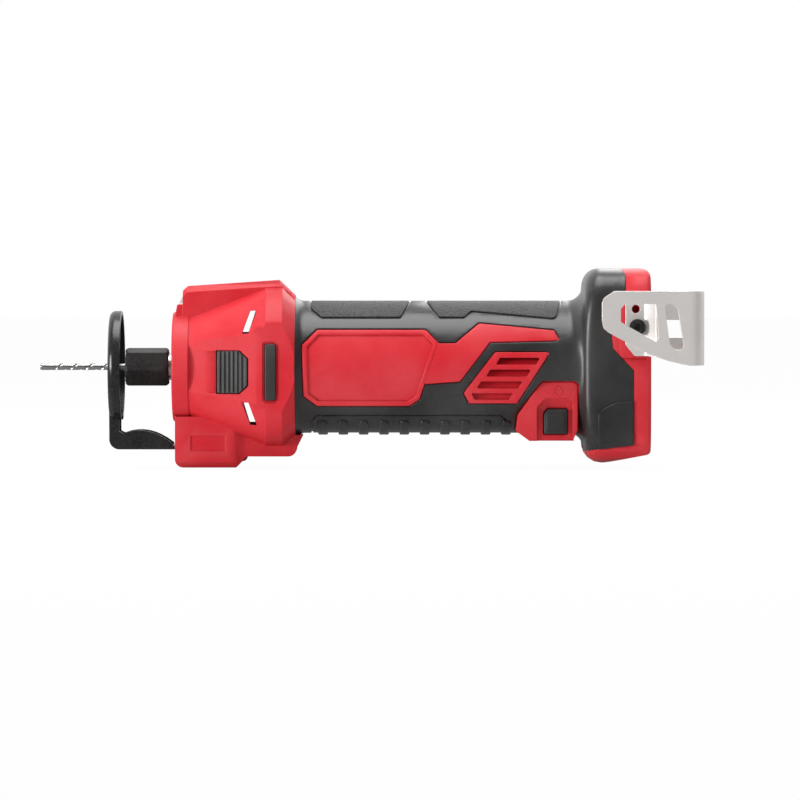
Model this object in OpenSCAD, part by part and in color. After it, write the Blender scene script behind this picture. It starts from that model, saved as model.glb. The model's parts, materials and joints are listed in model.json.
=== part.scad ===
// Cordless drywall cut out tool.
// X runs along the spindle, with the bit towards -X; Z is up; the tool's left side is -Y.
// The origin is on the spindle axis, at the front face of the depth guide.

/* [Bit and collet] */
// Diameter of the cutting bit
bit_d = 3.175; // [2.5:0.005:4]
// How far the bit stands ahead of the depth guide's face
bit_ahead = 34.3; // [25:0.1:40]
// Length of the smooth pilot at the bit's tip
bit_pilot_l = 5; // [3:0.5:8]
// Length of the bit behind the depth guide's face
bit_held = 24; // [20:0.5:26]
// Width of the collet nut across its flats
nut_af = 17; // [16:0.5:20]
// Length of the collet nut
nut_l = 21; // [18:0.5:22]
// Gap from the depth guide's face back to the collet nut
nut_gap = 7.8; // [6.8:0.1:8.4]

/* [Depth guide] */
// Outer diameter of the guide ring
ring_d = 54.8; // [50:0.2:58]
// Depth of the ring's turned-back rim
ring_depth = 6; // [5:0.1:6.5]
// Diameter of the opening in the ring
ring_hole_d = 30; // [24:0.5:34]
// Thickness of the guide's steel sheet
guide_sheet = 2; // [1.6:0.1:2.4]
// Width of the guide's arm
arm_w = 20; // [17:0.5:21]
// Drop from the spindle axis to the underside of the arm
arm_drop = 40.2; // [39:0.1:41]
// Height of the arm's side flanges
arm_flange_h = 8.8; // [6:0.2:10]
// Distance from the guide's face back to the nose
guide_reach = 31; // [30.5:0.1:34]
// Length of the arm held inside the nose
arm_tail = 30; // [26:0.5:32]
// How far the guide slides forward
guide_travel = 20; // [10:1:22]

/* [Depth clamp] */
// Length of the clamp lever, from pivot to tip
lever_l = 19; // [14:0.5:22]
// Thickness of the clamp lever
lever_t = 4.4; // [3.5:0.1:6]
// Diameter of the clamp's shaft
clamp_shaft_d = 4; // [3:0.1:4.4]
// Diameter of the clamp's eccentric
clamp_cam_d = 6.4; // [5.6:0.1:7]

/* [Nose] */
// Length of the nose housing
nose_l = 60; // [58:0.5:64]
// Diameter of the nose's front flange
flange_d = 53.6; // [51:0.2:56]
// Length of the nose's front flange
flange_l = 7.9; // [7:0.1:9]
// Diameter at the front of the cone
cone_d = 53; // [50:0.2:55]
// Length of the cone
cone_l = 36; // [34:0.5:37]
// Diameter of the rear band
band_d = 80; // [78:0.2:84]
// Width across the side flats at the rear band
nose_w = 68; // [66:0.2:72]
// Width across the side flats at the front of the cone
nose_front_w = 48; // [46:0.2:50]
// Wall of the nose housing
nose_wall = 2.8; // [2.2:0.1:3.4]
// Width of the hood
hood_w = 22; // [18:0.5:26]
// Height of the hood's ridge above the spindle axis
hood_h = 42.6; // [41.5:0.1:44]
// Length of the guide block
block_l = 34.7; // [33:0.1:37]
// Width of the guide block
block_w = 30; // [27:0.5:33]
// Drop from the spindle axis to the underside of the guide block
block_drop = 49; // [48:0.1:51]
// Width of the spine behind the guide block
spine_w = 23; // [18:0.5:26]
// Drop from the spindle axis to the underside of the spine
spine_drop = 43.6; // [42:0.1:45]

/* [Spindle lock] */
// Length of the lock button along the nose
lock_l = 14.9; // [13:0.1:15.5]
// Height of the lock button
lock_h = 20.5; // [18:0.1:21.5]
// Travel of the lock button
lock_travel = 3; // [2:0.1:3.2]
// Diameter of the notched lock ring on the spindle
lock_ring_d = 24; // [22:0.2:25]

/* [Grip] */
// Diameter of the grip over its rubber
grip_d = 64.8; // [63:0.2:68]
// Length of the straight grip, from the nose to the foot's front face
grip_l = 140.5; // [138:0.5:150]
// Thickness of the rubber overmould
skin = 1.6; // [1.2:0.1:2]
// Wall of the clamshell
shell_wall = 2.4; // [2:0.1:2.8]
// Width of the grooves round the rubber's windows and pads
groove_w = 0.6; // [0.4:0.1:1]
// Height of the grip ribs
rib_h = 0.9; // [0.4:0.1:1.4]
// Number of grip ribs
rib_count = 10; // [6:1:11]
// Length of the side plate
plate_l = 66.2; // [62:0.2:67]
// Height of the side plate
plate_h = 37; // [33:0.5:40]
// Depth of the side plate's recess
plate_recess = 0.9; // [0.4:0.1:1.2]
// Number of air slots in each side of the grip
vent_count = 4; // [3:1:4]
// Height of an air slot
vent_h = 3.4; // [2.4:0.1:3.8]

/* [Switch] */
// Depth of the switch block below the spindle axis
switch_drop = 35.4; // [34.6:0.1:36.5]
// Width across the switch block's side faces
switch_w = 59; // [57:0.2:61]
// Length of the push button along the grip
button_l = 11; // [9:0.1:12]
// Height of the push button
button_h = 12; // [10:0.1:12.4]
// Travel of the push button
button_travel = 2.5; // [1.5:0.1:2.8]

/* [Foot] */
// Length of the foot
foot_l = 32.1; // [31:0.1:36]
// Width of the foot
foot_w = 76; // [74:0.2:82]
// Height of the foot above the spindle axis
foot_top = 48.3; // [47:0.1:52]
// Drop of the foot below the spindle axis
foot_drop = 46.5; // [45:0.1:48]
// Lift of the foot's underside at the rear
foot_lift = 4.8; // [3:0.1:6]

/* [Battery bay] */
// Width of the battery bay
bay_w = 54; // [50:0.5:56]
// Depth of the battery bay
bay_depth = 10; // [9:0.1:11]
// Height of the battery bay above the spindle axis
bay_top = 38; // [36:0.5:40]
// Thickness of the rail lips
rail_t = 3.6; // [3:0.1:4]
// How far the rail lips stand in from the bay's sides
rail_lip = 4.5; // [3.5:0.1:5.5]
// Number of battery contacts
contact_count = 4; // [3:1:5]

/* [Belt hook] */
// Thickness of the hook's sheet
hook_sheet = 2; // [1.6:0.1:2.4]
// Height of the hook's outer leg
hook_h = 35.8; // [30:0.2:38]
// Length of the hook, from the outer leg's tip to the bend
hook_l = 49.4; // [46:0.2:54]
// Clear gap between the hook's two legs
hook_gap = 9; // [8:0.1:11]
// How far the inner leg stands off the foot
hook_standoff = 6; // [5:0.1:8]
// Diameter of the hook screw's head
hook_head_d = 7.8; // [7:0.1:9]

/* [Motor] */
// Gap between the motor can and the nose's spigot
motor_gap = 1.6; // [1.2:0.1:2]
// Length of the motor can
can_l = 52; // [48:0.5:53]
// Wall of the motor can
can_wall = 2; // [1.6:0.1:2.2]
// Diameter of the motor shaft
shaft_d = 8; // [7:0.1:9]
// Diameter of the spindle ahead of the front bearing
spindle_d = 13; // [12:0.1:13.4]
// Diameter of the cooling fan
fan_d = 48; // [44:0.5:50]
// Number of fan blades
fan_blades = 9; // [7:1:11]
// Number of armature slots
armature_slots = 12; // [8:1:14]

/* [Hidden] */
$fn = 64;

// Colours
red = [0.72, 0.07, 0.08];
charcoal = [0.16, 0.16, 0.17];
black = [0.05, 0.05, 0.055];
steel = [0.72, 0.73, 0.75];
copper = [0.72, 0.42, 0.22];

// Clearances and the overrun of every cut
clear = 0.3;
run_fit = 0.1;
seat_gap = 0.05;
over = 2;
slice = 0.02;

// Points round the lofts, webs and screw bosses
section_points = 40;
hollow_points = 28;
web_points = 32;
boss_points = 14;

// Places along the spindle
nose_x = guide_reach;
nut_x = nut_gap;
groove_l = 1.1;
cone_x = nose_x + flange_l + groove_l;
cone_end_x = cone_x + cone_l;
grip_x = nose_x + nose_l;
foot_x = grip_x + grip_l;
rear_x = foot_x + foot_l;
bay_x = rear_x - bay_depth;
reach = rear_x + hook_l;

// Radii
grip_r = grip_d/2;
ring_r = ring_d/2;
band_r = band_d/2;
cone_r = cone_d/2;
flange_r = flange_d/2;
inner_r = grip_r - skin - shell_wall;

// Spigot of the nose, held in the front of the clamshell
spigot_l = 10;
spigot_wall = 2.5;
spigot_r = inner_r*cos(180/hollow_points) - clear;
spigot_bore_r = spigot_r - spigot_wall;
key_l = 2.4;
key_depth = 1.2;
key_x = grip_x + spigot_l/2 - key_l/2;

// Bearings: front 26 x 10 x 8, rear 22 x 8 x 7
front_bearing_d = 26;
front_bearing_bore = 10;
front_bearing_l = 8;
rear_bearing_d = 22;
rear_bearing_l = 7;
race_share = 0.3;
ball_share = 0.46;
ball_count = 8;
front_wall = 6;
front_bearing_x = nose_x + front_wall;
sleeve_wall = 3.5;

// Motor, from front to rear
can_setback = 2;
can_x = grip_x + can_setback;
can_r = spigot_bore_r - motor_gap;
magnet_t = 3.6;
air_gap = 0.8;
core_r = can_r - can_wall - magnet_t - air_gap;
core_margin = 6;
core_x = can_x + core_margin;
core_l = can_l - 2*core_margin;
card_t = 2.5;
card_x = can_x + can_l;
commutator_d = 18;
commutator_l = 10;
commutator_x = card_x + card_t/2;
rear_bearing_gap = 4;
rear_bearing_x = commutator_x + commutator_l + rear_bearing_gap;
rear_seat_t = 2;
shaft_end_x = rear_bearing_x + rear_bearing_l;
fan_l = 8;
fan_x = cone_end_x - fan_l/4;
rib_t = 2.5;
can_rib_share = 0.25;

// Spindle lock
lock_setback = 13.3;
lock_x = cone_x + lock_setback;
lock_mid_x = lock_x + lock_l/2;
lock_z = -2;
lock_floor_y = 20.5;
lock_floor_t = 2;
lock_pin_d = 2.6;
lock_rest_gap = 0.6;
lock_ring_l = 6;
lock_notch_w = 3.4;
lock_notches = 12;
lock_ring_gap = lock_ring_d/2 + lock_rest_gap;
lock_boss_d = 6.4;
lock_proud = 0.8;
lock_floor_gap = 0.5;
lock_inner_y = lock_floor_y + lock_travel + lock_floor_gap;

// Guide block, slot and clamp
block_setback = 1.3;
block_x = nose_x + block_setback;
block_end_x = block_x + block_l;
arm_end_x = nose_x + arm_tail;
bend_r = 5;
clamp_setback = 17;
clamp_x = nose_x + clamp_setback;
cam_throw = 0.8;
clamp_z = -(arm_drop + run_fit + clamp_cam_d/2 + cam_throw);
cam_w = 8;

// Clamshell screws: place along the tool and height
screw_d = 3;
screw_l = 16;
screw_head_d = 5.6;
screw_head_h = 2.4;
screw_seat_y = 4;
boss_wall = 1.6;
boss_d = screw_head_d + 2*clear + 2*boss_wall;
front_screw_x = grip_x + spigot_l + boss_d;
front_screw_inset = 1.2;
rear_screw_x = shaft_end_x + boss_d;
rear_screw_inset = 6;
foot_screw_x = foot_x + boss_d;
foot_screw_inset = 10;
screw_places = [[front_screw_x, inner_r - front_screw_inset], [front_screw_x, front_screw_inset - inner_r],
    [rear_screw_x, inner_r - rear_screw_inset], [rear_screw_x, rear_screw_inset - inner_r],
    [foot_screw_x, foot_top - foot_screw_inset], [foot_screw_x, foot_screw_inset - foot_drop]];

// Switch block and push button
switch_l = 29.9;
switch_ahead = 33.1;
switch_x = foot_x - switch_ahead;
switch_top = -6.8;
switch_h = switch_drop + switch_top;
button_setback = 19.2;
button_x = switch_x + button_setback;
button_z = -26;
button_sunk = 1.2;
button_face_y = switch_w/2 - button_sunk;
well_deep = 4;
button_floor_y = switch_w/2 - well_deep;
switch_hollow_y = button_floor_y - shell_wall;
button_flange = 0.7;
button_flange_t = 2;
button_root_y = switch_hollow_y - clear - button_flange_t;
plunger_d = 4;
plunger_l = 3;
plunger_y = button_root_y - button_travel - plunger_l;

// Rubber ribs under the grip
rib_pitch = 9.95;
rib_w = 4.8;
rib_setback = 11;
rib_x = grip_x + rib_setback;
rib_top_share = 0.8;

// Belt hook
hook_z = 1.7;
hook_ahead = 24.7;
hook_x = rear_x - hook_ahead;
hook_screw_ahead = 7;
hook_screw_x = rear_x - hook_screw_ahead;
hook_screw_z = 20;
hook_screw_d = 4;
hook_screw_l = 9;
hook_seat_proud = 0.2;
hook_seat_y = foot_w/2 + hook_seat_proud;
hook_pad_l = 11.5;
hook_jog_ahead = 3;
hook_jog_x = rear_x - hook_jog_ahead;
hook_pad_x = hook_jog_x - hook_pad_l;
hook_inner_y = hook_seat_y + hook_standoff;
hook_outer_y = hook_inner_y + hook_sheet + hook_gap;
hook_bend_r = hook_gap/2;
hook_bend_x = hook_x + hook_l - hook_bend_r - hook_sheet;

function mix(a, b, t) = a + (b - a)*t;
function in_box(shares, x, z, l, h) = [for (s = shares) [x + s[0]*l, z + s[1]*h]];
// Outlines mirrored across their first axis, or across their second
function mirrored(points) = concat(points,
    [for (i = [len(points) - 1:-1:0]) [points[i][0], -points[i][1]]]);
function mirrored_y(points) = concat(points,
    [for (i = [len(points) - 1:-1:0]) [-points[i][0], points[i][1]]]);

// Stands a shape drawn along Z on the spindle axis, from x towards the rear
module along_x(x = 0) translate([x, 0, 0]) rotate([0, 90, 0]) children();

// Stands a shape drawn along Z across the tool, from y towards +Y
module along_y(at) translate(at) rotate([-90, 0, 0]) children();

// Turns an outline of [radius, x] points about the spindle axis
module turned(points) along_x() rotate_extrude() polygon(points);

// Carries a side view, drawn in X and Z, across the tool from y0 to y1
module side_shape(y0, y1) translate([0, y1, 0]) rotate([90, 0, 0]) linear_extrude(y1 - y0) children();
module side_prism(points, y0, y1) side_shape(y0, y1) polygon(points);

// Carries a plan view, drawn in X and Y, from z0 to z1
module plan_prism(points, z0, z1) translate([0, 0, z0]) linear_extrude(z1 - z0) polygon(points);

// Carries an end view, drawn in Y and Z, from x0 to x1
module end_prism(points, x0, x1)
    translate([x0, 0, 0]) rotate([90, 0, 90]) linear_extrude(x1 - x0) polygon(points);

// Box from one corner to the other
module box(a, b) translate(a) cube(b - a);

module tube(r, bore, l) difference() {
    cylinder(r = r, h = l);
    translate([0, 0, -over]) cylinder(r = bore, h = l + 2*over);
}

// Round wire swept along a list of points, as one skin
function unit(v) = v/norm(v);
function run_dir(p, i) = unit(p[min(i + 1, len(p) - 1)] - p[max(i - 1, 0)]);
function lead_ring(at, dir, r) = let(
    ref = abs(dir[2]) < 0.8 ? [0, 0, 1] : [0, 1, 0],
    u = unit(cross(dir, ref)), v = cross(dir, u))
    [for (k = [0:lead_sides - 1]) at + r*(cos(360*k/lead_sides)*u + sin(360*k/lead_sides)*v)];
lead_sides = 6;
module lead(points, r) {
    n = lead_sides;
    last = len(points) - 1;
    skin_points = [for (i = [0:last]) each lead_ring(points[i], run_dir(points, i), r)];
    quads = [for (i = [0:last - 1], k = [0:n - 1]) let(a = i*n + k, b = i*n + (k + 1) % n)
        each [[a, b + n, b], [a, a + n, b + n]]];
    start = [for (k = [1:n - 2]) [0, k, k + 1]];
    end = [for (k = [1:n - 2]) [last*n, last*n + k + 1, last*n + k]];
    polyhedron(skin_points, concat(quads, start, end));
}
// Smooth curve through four control points
function curve(a, b, c, d, steps) = [for (i = [0:steps]) let(t = i/steps, s = 1 - t)
    s*s*s*a + 3*s*s*t*b + 3*s*t*t*c + t*t*t*d];

// Bit, collet and nut
flute_past = 4;
flute_l = bit_ahead - bit_pilot_l + flute_past;
flute_lead = 9;
flute_share = 0.3;
flute_at_share = 0.56;
flute_slices = 36;
module cutting_bit() color(steel) {
    tip_r = bit_d/4;
    turn = 360*flute_l/flute_lead;
    turned([[0, -bit_ahead], [tip_r, -bit_ahead], [bit_d/2, -bit_ahead + tip_r],
        [bit_d/2, bit_pilot_l - bit_ahead], [0, bit_pilot_l - bit_ahead]]);
    along_x(bit_pilot_l - bit_ahead)
        linear_extrude(flute_l, twist = turn, slices = flute_slices, $fn = 12) difference() {
            circle(d = bit_d, $fn = 12);
            for (side = [-1, 1]) translate([side*bit_d*flute_at_share, 0]) circle(bit_d*flute_share, $fn = 6);
        }
    along_x(bit_pilot_l - bit_ahead + flute_l)
        cylinder(d = bit_d, h = bit_held + bit_ahead - bit_pilot_l - flute_l);
}

collet_r = 3.8;
collet_l = 15;
nut_lip = 1.6;
collet_x = nut_x + nut_lip;
collet_slit_share = 0.6;
collet_slit = 0.8;
module collet() color(steel) difference() {
    turned([[bit_d/2 + seat_gap, collet_x], [collet_r - collet_slit, collet_x],
        [collet_r, collet_x + collet_l/4], [collet_r, collet_x + collet_l],
        [bit_d/2 + seat_gap, collet_x + collet_l]]);
    for (turn = [0, 90]) rotate([turn, 0, 0])
        box([collet_x - over, -collet_slit/2, -collet_r - over],
            [collet_x + collet_l*collet_slit_share, collet_slit/2, collet_r + over]);
}

nut_turn = 42;
nut_chamfer = 1.4;
nut_slope_share = 0.7;
nut_mouth_d = 6;
module collet_nut() color(black) difference() {
    nut_r = nut_af/sqrt(3);
    rim_r = nut_r + clear;
    chamfer = nut_chamfer + clear;
    intersection() {
        along_x(nut_x) rotate([0, 0, nut_turn]) cylinder(r = nut_r, h = nut_l, $fn = 6);
        turned([[0, nut_x], [rim_r - chamfer, nut_x], [rim_r, nut_x + chamfer*nut_slope_share],
            [rim_r, nut_x + nut_l - chamfer*nut_slope_share], [rim_r - chamfer, nut_x + nut_l],
            [0, nut_x + nut_l]]);
    }
    along_x(nut_x - over) cylinder(d = nut_mouth_d, h = nut_l);
    along_x(collet_x - seat_gap) cylinder(d = spindle_d + 2*seat_gap, h = nut_l + over);
}

spindle_step = 2;
module spindle_shaft() color(steel) difference() {
    bearing_r = front_bearing_bore/2;
    turned([[0, collet_x], [spindle_d/2, collet_x], [spindle_d/2, front_bearing_x - clear],
        [bearing_r, front_bearing_x - clear], [bearing_r, front_bearing_x + front_bearing_l + spindle_step],
        [shaft_d/2, front_bearing_x + front_bearing_l + spindle_step], [shaft_d/2, shaft_end_x],
        [0, shaft_end_x]]);
    along_x(collet_x - over) cylinder(r = collet_r + seat_gap, h = collet_l + over);
    along_x(collet_x) cylinder(d = bit_d + 2*seat_gap, h = bit_held - collet_x + seat_gap);
}

module lock_ring() color(steel) along_x(lock_mid_x - lock_ring_l/2) difference() {
    cylinder(d = lock_ring_d, h = lock_ring_l);
    translate([0, 0, -over]) cylinder(d = shaft_d + 2*seat_gap, h = lock_ring_l + 2*over);
    notch = lock_travel + lock_rest_gap;
    for (i = [0:lock_notches - 1]) rotate([0, 0, 360*i/lock_notches])
        translate([lock_ring_d/2 - notch, -lock_notch_w/2, -over])
            cube([notch + over, lock_notch_w, lock_ring_l + 2*over]);
}

fan_disc = 1.4;
blade_t = 1.4;
fan_hub_d = 16;
blade_lean = 25;
module cooling_fan() color(charcoal) along_x(fan_x) difference() {
    union() {
        translate([0, 0, fan_l - fan_disc]) cylinder(d = fan_d, h = fan_disc);
        cylinder(d = fan_hub_d, h = fan_l);
        for (i = [0:fan_blades - 1]) rotate([0, 0, 360*i/fan_blades])
            translate([fan_hub_d/2 - blade_t, 0, 0]) rotate([0, 0, -blade_lean])
                cube([(fan_d - fan_hub_d)/2 - blade_t, blade_t, fan_l]);
    }
    translate([0, 0, -over]) cylinder(d = shaft_d + 2*seat_gap, h = fan_l + 2*over);
}

slot_share = 0.55;
slot_mouth_share = 0.12;
module armature_core() color([0.35, 0.36, 0.38]) along_x(core_x) difference() {
    cylinder(r = core_r, h = core_l);
    translate([0, 0, -over]) cylinder(d = shaft_d + 2*seat_gap, h = core_l + 2*over);
    for (i = [0:armature_slots - 1]) rotate([0, 0, 360*i/armature_slots]) translate([0, 0, -over])
        linear_extrude(core_l + 2*over) union() {
            translate([core_r*slot_share, 0]) circle(core_r*slot_mouth_share);
            translate([core_r*slot_share, -core_r*slot_mouth_share/2])
                square([core_r, core_r*slot_mouth_share]);
        }
}

winding_share = 0.86;
module armature_windings() color(copper) for (end = [0, 1]) {
    l = core_margin - clear;
    along_x(end == 0 ? core_x - l : core_x + core_l) difference() {
        cylinder(r = core_r*winding_share, h = l);
        translate([0, 0, -over]) cylinder(d = shaft_d + 2*seat_gap, h = l + 2*over);
    }
}

commutator_bars = 12;
bar_slit = 0.5;
module commutator() color(copper) along_x(commutator_x) difference() {
    cylinder(d = commutator_d, h = commutator_l);
    translate([0, 0, -over]) cylinder(d = shaft_d + 2*seat_gap, h = commutator_l + 2*over);
    for (i = [0:commutator_bars - 1]) rotate([0, 0, 360*i/commutator_bars])
        translate([commutator_d/2 - 2*bar_slit, -bar_slit/2, -over])
            cube([2*bar_slit + over, bar_slit, commutator_l + 2*over]);
}

// Ball bearing pieces: the races leave a groove of ball size plus the running fit
function race_t(d, bore) = (d - bore)/2*race_share;
function pitch_r(d, bore) = (d + bore)/4;
function ball_r(d, bore) = (d - bore)/4*ball_share;
module ball_track(d, bore, l) translate([0, 0, l/2]) rotate_extrude()
    translate([pitch_r(d, bore), 0]) circle(ball_r(d, bore) + run_fit);
module outer_ring(d, bore, l) difference() {
    tube(d/2, d/2 - race_t(d, bore), l);
    ball_track(d, bore, l);
}
module inner_ring(d, bore, l, fit_d) difference() {
    tube(bore/2 + race_t(d, bore), fit_d/2, l);
    ball_track(d, bore, l);
}
module balls(d, bore, l) for (i = [0:ball_count - 1]) rotate([0, 0, 360*i/ball_count])
    translate([pitch_r(d, bore), 0, l/2]) sphere(ball_r(d, bore));

module front_bearing_outer() color(steel) along_x(front_bearing_x)
    outer_ring(front_bearing_d, front_bearing_bore, front_bearing_l);
module front_bearing_inner() color(steel) along_x(front_bearing_x)
    inner_ring(front_bearing_d, front_bearing_bore, front_bearing_l, front_bearing_bore + 2*seat_gap);
module front_bearing_balls() color(steel) along_x(front_bearing_x)
    balls(front_bearing_d, front_bearing_bore, front_bearing_l);
module rear_bearing_outer() color(steel) along_x(rear_bearing_x)
    outer_ring(rear_bearing_d, shaft_d, rear_bearing_l);
module rear_bearing_inner() color(steel) along_x(rear_bearing_x)
    inner_ring(rear_bearing_d, shaft_d, rear_bearing_l, shaft_d + 2*seat_gap);
module rear_bearing_balls() color(steel) along_x(rear_bearing_x)
    balls(rear_bearing_d, shaft_d, rear_bearing_l);
module rear_bearing_seat() color(black) along_x(rear_bearing_x)
    tube(rear_bearing_d/2 + rear_seat_t, rear_bearing_d/2 + seat_gap, rear_bearing_l);

// Motor
module motor_can() color(steel) along_x(can_x) tube(can_r, can_r - can_wall, can_l);

magnet_arc = 65;
module motor_magnets() color([0.25, 0.25, 0.27]) for (side = [0, 180])
    along_x(core_x) rotate([0, 0, side - magnet_arc]) rotate_extrude(angle = 2*magnet_arc)
        translate([can_r - can_wall - magnet_t, 0]) square([magnet_t - seat_gap, core_l]);

brush_w = 5;
brush_l = 6.4;
brush_wall = 1;
brush_x = commutator_x + commutator_l/2 + card_t/4;
brush_y = commutator_d/2 + run_fit;
brush_h = 6;
holder_gap = 2;
holder_lift = 1;
holder_h = can_r - holder_gap - brush_y;
card_gap = 1.5;
brush_wire_r = 0.35;
brush_turns = 2;
module brush_card() color(black) {
    along_x(card_x) tube(can_r - seat_gap, commutator_d/2 + card_gap, card_t);
    for (side = [0, 180]) rotate([side, 0, 0]) difference() {
        box([card_x + card_t, -brush_w/2 - brush_wall - clear, brush_y + holder_lift],
            [brush_x + brush_l/2 + brush_wall, brush_w/2 + brush_wall + clear, brush_y + holder_h]);
        box([brush_x - brush_l/2 - seat_gap, -brush_w/2 - seat_gap, -over],
            [brush_x + brush_l/2 + seat_gap, brush_w/2 + seat_gap, brush_y + holder_h - brush_wall]);
    }
}
module carbon_brushes() color([0.12, 0.12, 0.12]) for (side = [0, 180]) rotate([side, 0, 0]) difference() {
    box([brush_x - brush_l/2, -brush_w/2, brush_y - holder_lift],
        [brush_x + brush_l/2, brush_w/2, brush_y + brush_h]);
    along_x(commutator_x) cylinder(r = brush_y, h = commutator_l + over);
}
module brush_springs() color(steel) for (side = [0, 180]) rotate([side, 0, 0])
    translate([brush_x, 0, brush_y + brush_h])
        coil(brush_w/2 - brush_wall, brush_wire_r, holder_h - brush_h - brush_wall, brush_turns);

// Round-wire compression spring along +Z with its wire centred on radius r, between two end planes
module coil(r, wire_r, h, turns) {
    steps = 8*turns;
    lead([for (i = [0:steps]) let(a = 360*i/8)
        [r*cos(a), r*sin(a), wire_r + (h - 2*wire_r)*i/steps]], wire_r);
}

// Depth guide: a stamped ring with a turned-back rim, a neck and a channel-shaped arm
rim_round = 3;
arch_share = 0.9;
module quarter_ring(r, t) intersection() {
    difference() {
        circle(r);
        circle(r - t);
    }
    children();
}
module depth_guide() color(black) {
    ring_hole_r = ring_hole_d/2;
    difference() {
        along_x() rotate_extrude() union() {
            translate([ring_hole_r, 0]) square([ring_r - rim_round - ring_hole_r, guide_sheet]);
            translate([ring_r - guide_sheet, rim_round]) square([guide_sheet, ring_depth - rim_round]);
            translate([ring_r - rim_round, rim_round]) quarter_ring(rim_round, guide_sheet)
                translate([0, -rim_round]) square(rim_round);
        }
        box([guide_sheet, guide_sheet - arm_w/2, -ring_r - over],
            [ring_depth + over, arm_w/2 - guide_sheet, 0]);
    }
    side_shape(-arm_w/2, arm_w/2) union() {
        translate([0, bend_r - arm_drop]) square([guide_sheet, arm_drop - bend_r - ring_r + 2*rim_round]);
        translate([bend_r, bend_r - arm_drop]) quarter_ring(bend_r, guide_sheet)
            translate([-bend_r, -bend_r]) square(bend_r);
        translate([bend_r, -arm_drop]) square([arm_end_x - bend_r, guide_sheet]);
    }
    for (side = [-1, 1]) side_prism(arm_flange(), side*arm_w/2 - (side > 0 ? guide_sheet : 0),
        side*arm_w/2 + (side < 0 ? guide_sheet : 0));
}
// Side flange: down the neck, round the bend and along the arm in a low arch to the nose
function arm_flange() = let(root = ring_depth - guide_sheet/2, low = -arm_drop + guide_sheet/2,
    top = arm_flange_h - arm_drop, end = nose_x, arch = 8)
    concat([[guide_sheet/2, -ring_r + rim_round], [root, -ring_r + guide_sheet], [root, top]],
        [for (i = [0:arch]) let(t = i/arch) [mix(root + guide_sheet, end, t),
            mix(top - guide_sheet/2, low + guide_sheet, pow(t, 3))
                + guide_sheet*arch_share*sin(180*pow(t, 0.8))]],
        [[end, low], [bend_r, low], [bend_r/2, low + bend_r/4], [guide_sheet/2, bend_r + low]]);

lever_root_d = 9;
lever_tip_d = 5.4;
lever_tip_share = 0.8;
lever_y = block_w/2 + clear;
module clamp_lever() color(black) difference() {
    union() {
        hull() {
            along_y([clamp_x, lever_y, clamp_z]) cylinder(d = lever_root_d, h = lever_t, $fn = 32);
            along_y([clamp_x + lever_l - lever_tip_d/2, lever_y, clamp_z])
                cylinder(d = lever_tip_d, h = lever_t*lever_tip_share, $fn = 32);
        }
        along_y([clamp_x, lever_y, clamp_z]) cylinder(d = lever_root_d, h = lever_t);
    }
    along_y([clamp_x, lever_y - over, clamp_z])
        cylinder(d = clamp_shaft_d + 2*seat_gap, h = lever_t + 2*over);
}
module clamp_shaft() color(steel) {
    along_y([clamp_x, -block_w/4, clamp_z])
        cylinder(d = clamp_shaft_d, h = block_w/4 + lever_y + lever_t);
    along_y([clamp_x, -cam_w/2, clamp_z + cam_throw]) cylinder(d = clamp_cam_d, h = cam_w);
}

// Nose housing
flat_ahead = 4;
flat_x = cone_end_x - flat_ahead;
band_step = 0.7;
rear_chamfer = 6;
flange_valley = 0.5;
edge = 0.6;
rear_wall = 3;
band_end_x = grip_x - rear_chamfer;
nose_step = 2;
nose_end_r = grip_r + nose_step;
hood_c = 3;
hood_base = 24;
hood_setback = 5;
hood_front_x = nose_x + hood_setback;
hood_fall = 3;
hood_round = 2.3;
hood_slope_l = 7.8;
lens_h = 4;
lens_w = 17;
lens_t = 1.8;
lens_below = 11.4;
lens_base_z = hood_h - lens_below;
lens_toe = 1;
lens_step = 2.3;
lens_setback = 3.2;
lens_lean = 1.6;
lens_lip = 0.2;
light_bay_l = 16;
light_margin = 1;
light_board_t = 1.2;

// Half width of the side flats at a place along the nose
function flat_y(x) = mix(nose_front_w, nose_w, (x - cone_x)/(flat_x - cone_x))/2;
function nose_plan(inset) = let(x = nose_x + flange_l + flange_valley/2) mirrored([
    [nose_x - over, band_r], [x, band_r], [x, flat_y(x) - inset], [flat_x, nose_w/2 - inset],
    [grip_x + over, nose_w/2 - inset]]);

module nose_cone() intersection() {
    turned([[0, nose_x], [flange_r - edge, nose_x], [flange_r, nose_x + edge], [flange_r, nose_x + flange_l],
        [flange_r - flange_valley, nose_x + flange_l + flange_valley], [cone_r, cone_x],
        [band_r - band_step, cone_end_x], [band_r, cone_end_x + band_step], [band_r, band_end_x],
        [nose_end_r, grip_x], [0, grip_x]]);
    plan_prism(nose_plan(0), -band_r, band_r);
}
module nose_cavity() intersection() {
    turned([[0, front_bearing_x], [cone_r - nose_wall, front_bearing_x], [cone_r - nose_wall, cone_x],
        [band_r - band_step - nose_wall, cone_end_x], [band_r - nose_wall, cone_end_x + band_step],
        [band_r - nose_wall, grip_x - rear_wall], [0, grip_x - rear_wall]]);
    plan_prism(nose_plan(nose_wall), -band_r, band_r);
}

// Hood: one cross-section with chamfered shoulders, drawn at four places
function hood_section(top) = mirrored_y([[hood_w/2 - hood_c, top], [hood_w/2, top - hood_c],
    [hood_w/2, hood_base]]);
module hood() {
    front_top = hood_h - hood_fall;
    hull() for (s = [[hood_front_x, front_top - hood_round], [hood_front_x + hood_round, front_top],
            [grip_x - hood_slope_l, hood_h], [grip_x - slice, nose_end_r + edge]])
        end_prism(hood_section(s[1]), s[0], s[0] + slice);
    side_prism(lens_seat(), -hood_w/2 + hood_c/3, hood_w/2 - hood_c/3);
}
function lens_seat() = [[nose_x + lens_toe, hood_base], [nose_x + lens_step, lens_base_z - edge],
    [hood_front_x, lens_base_z - edge], [hood_front_x + over, hood_base]];
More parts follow.
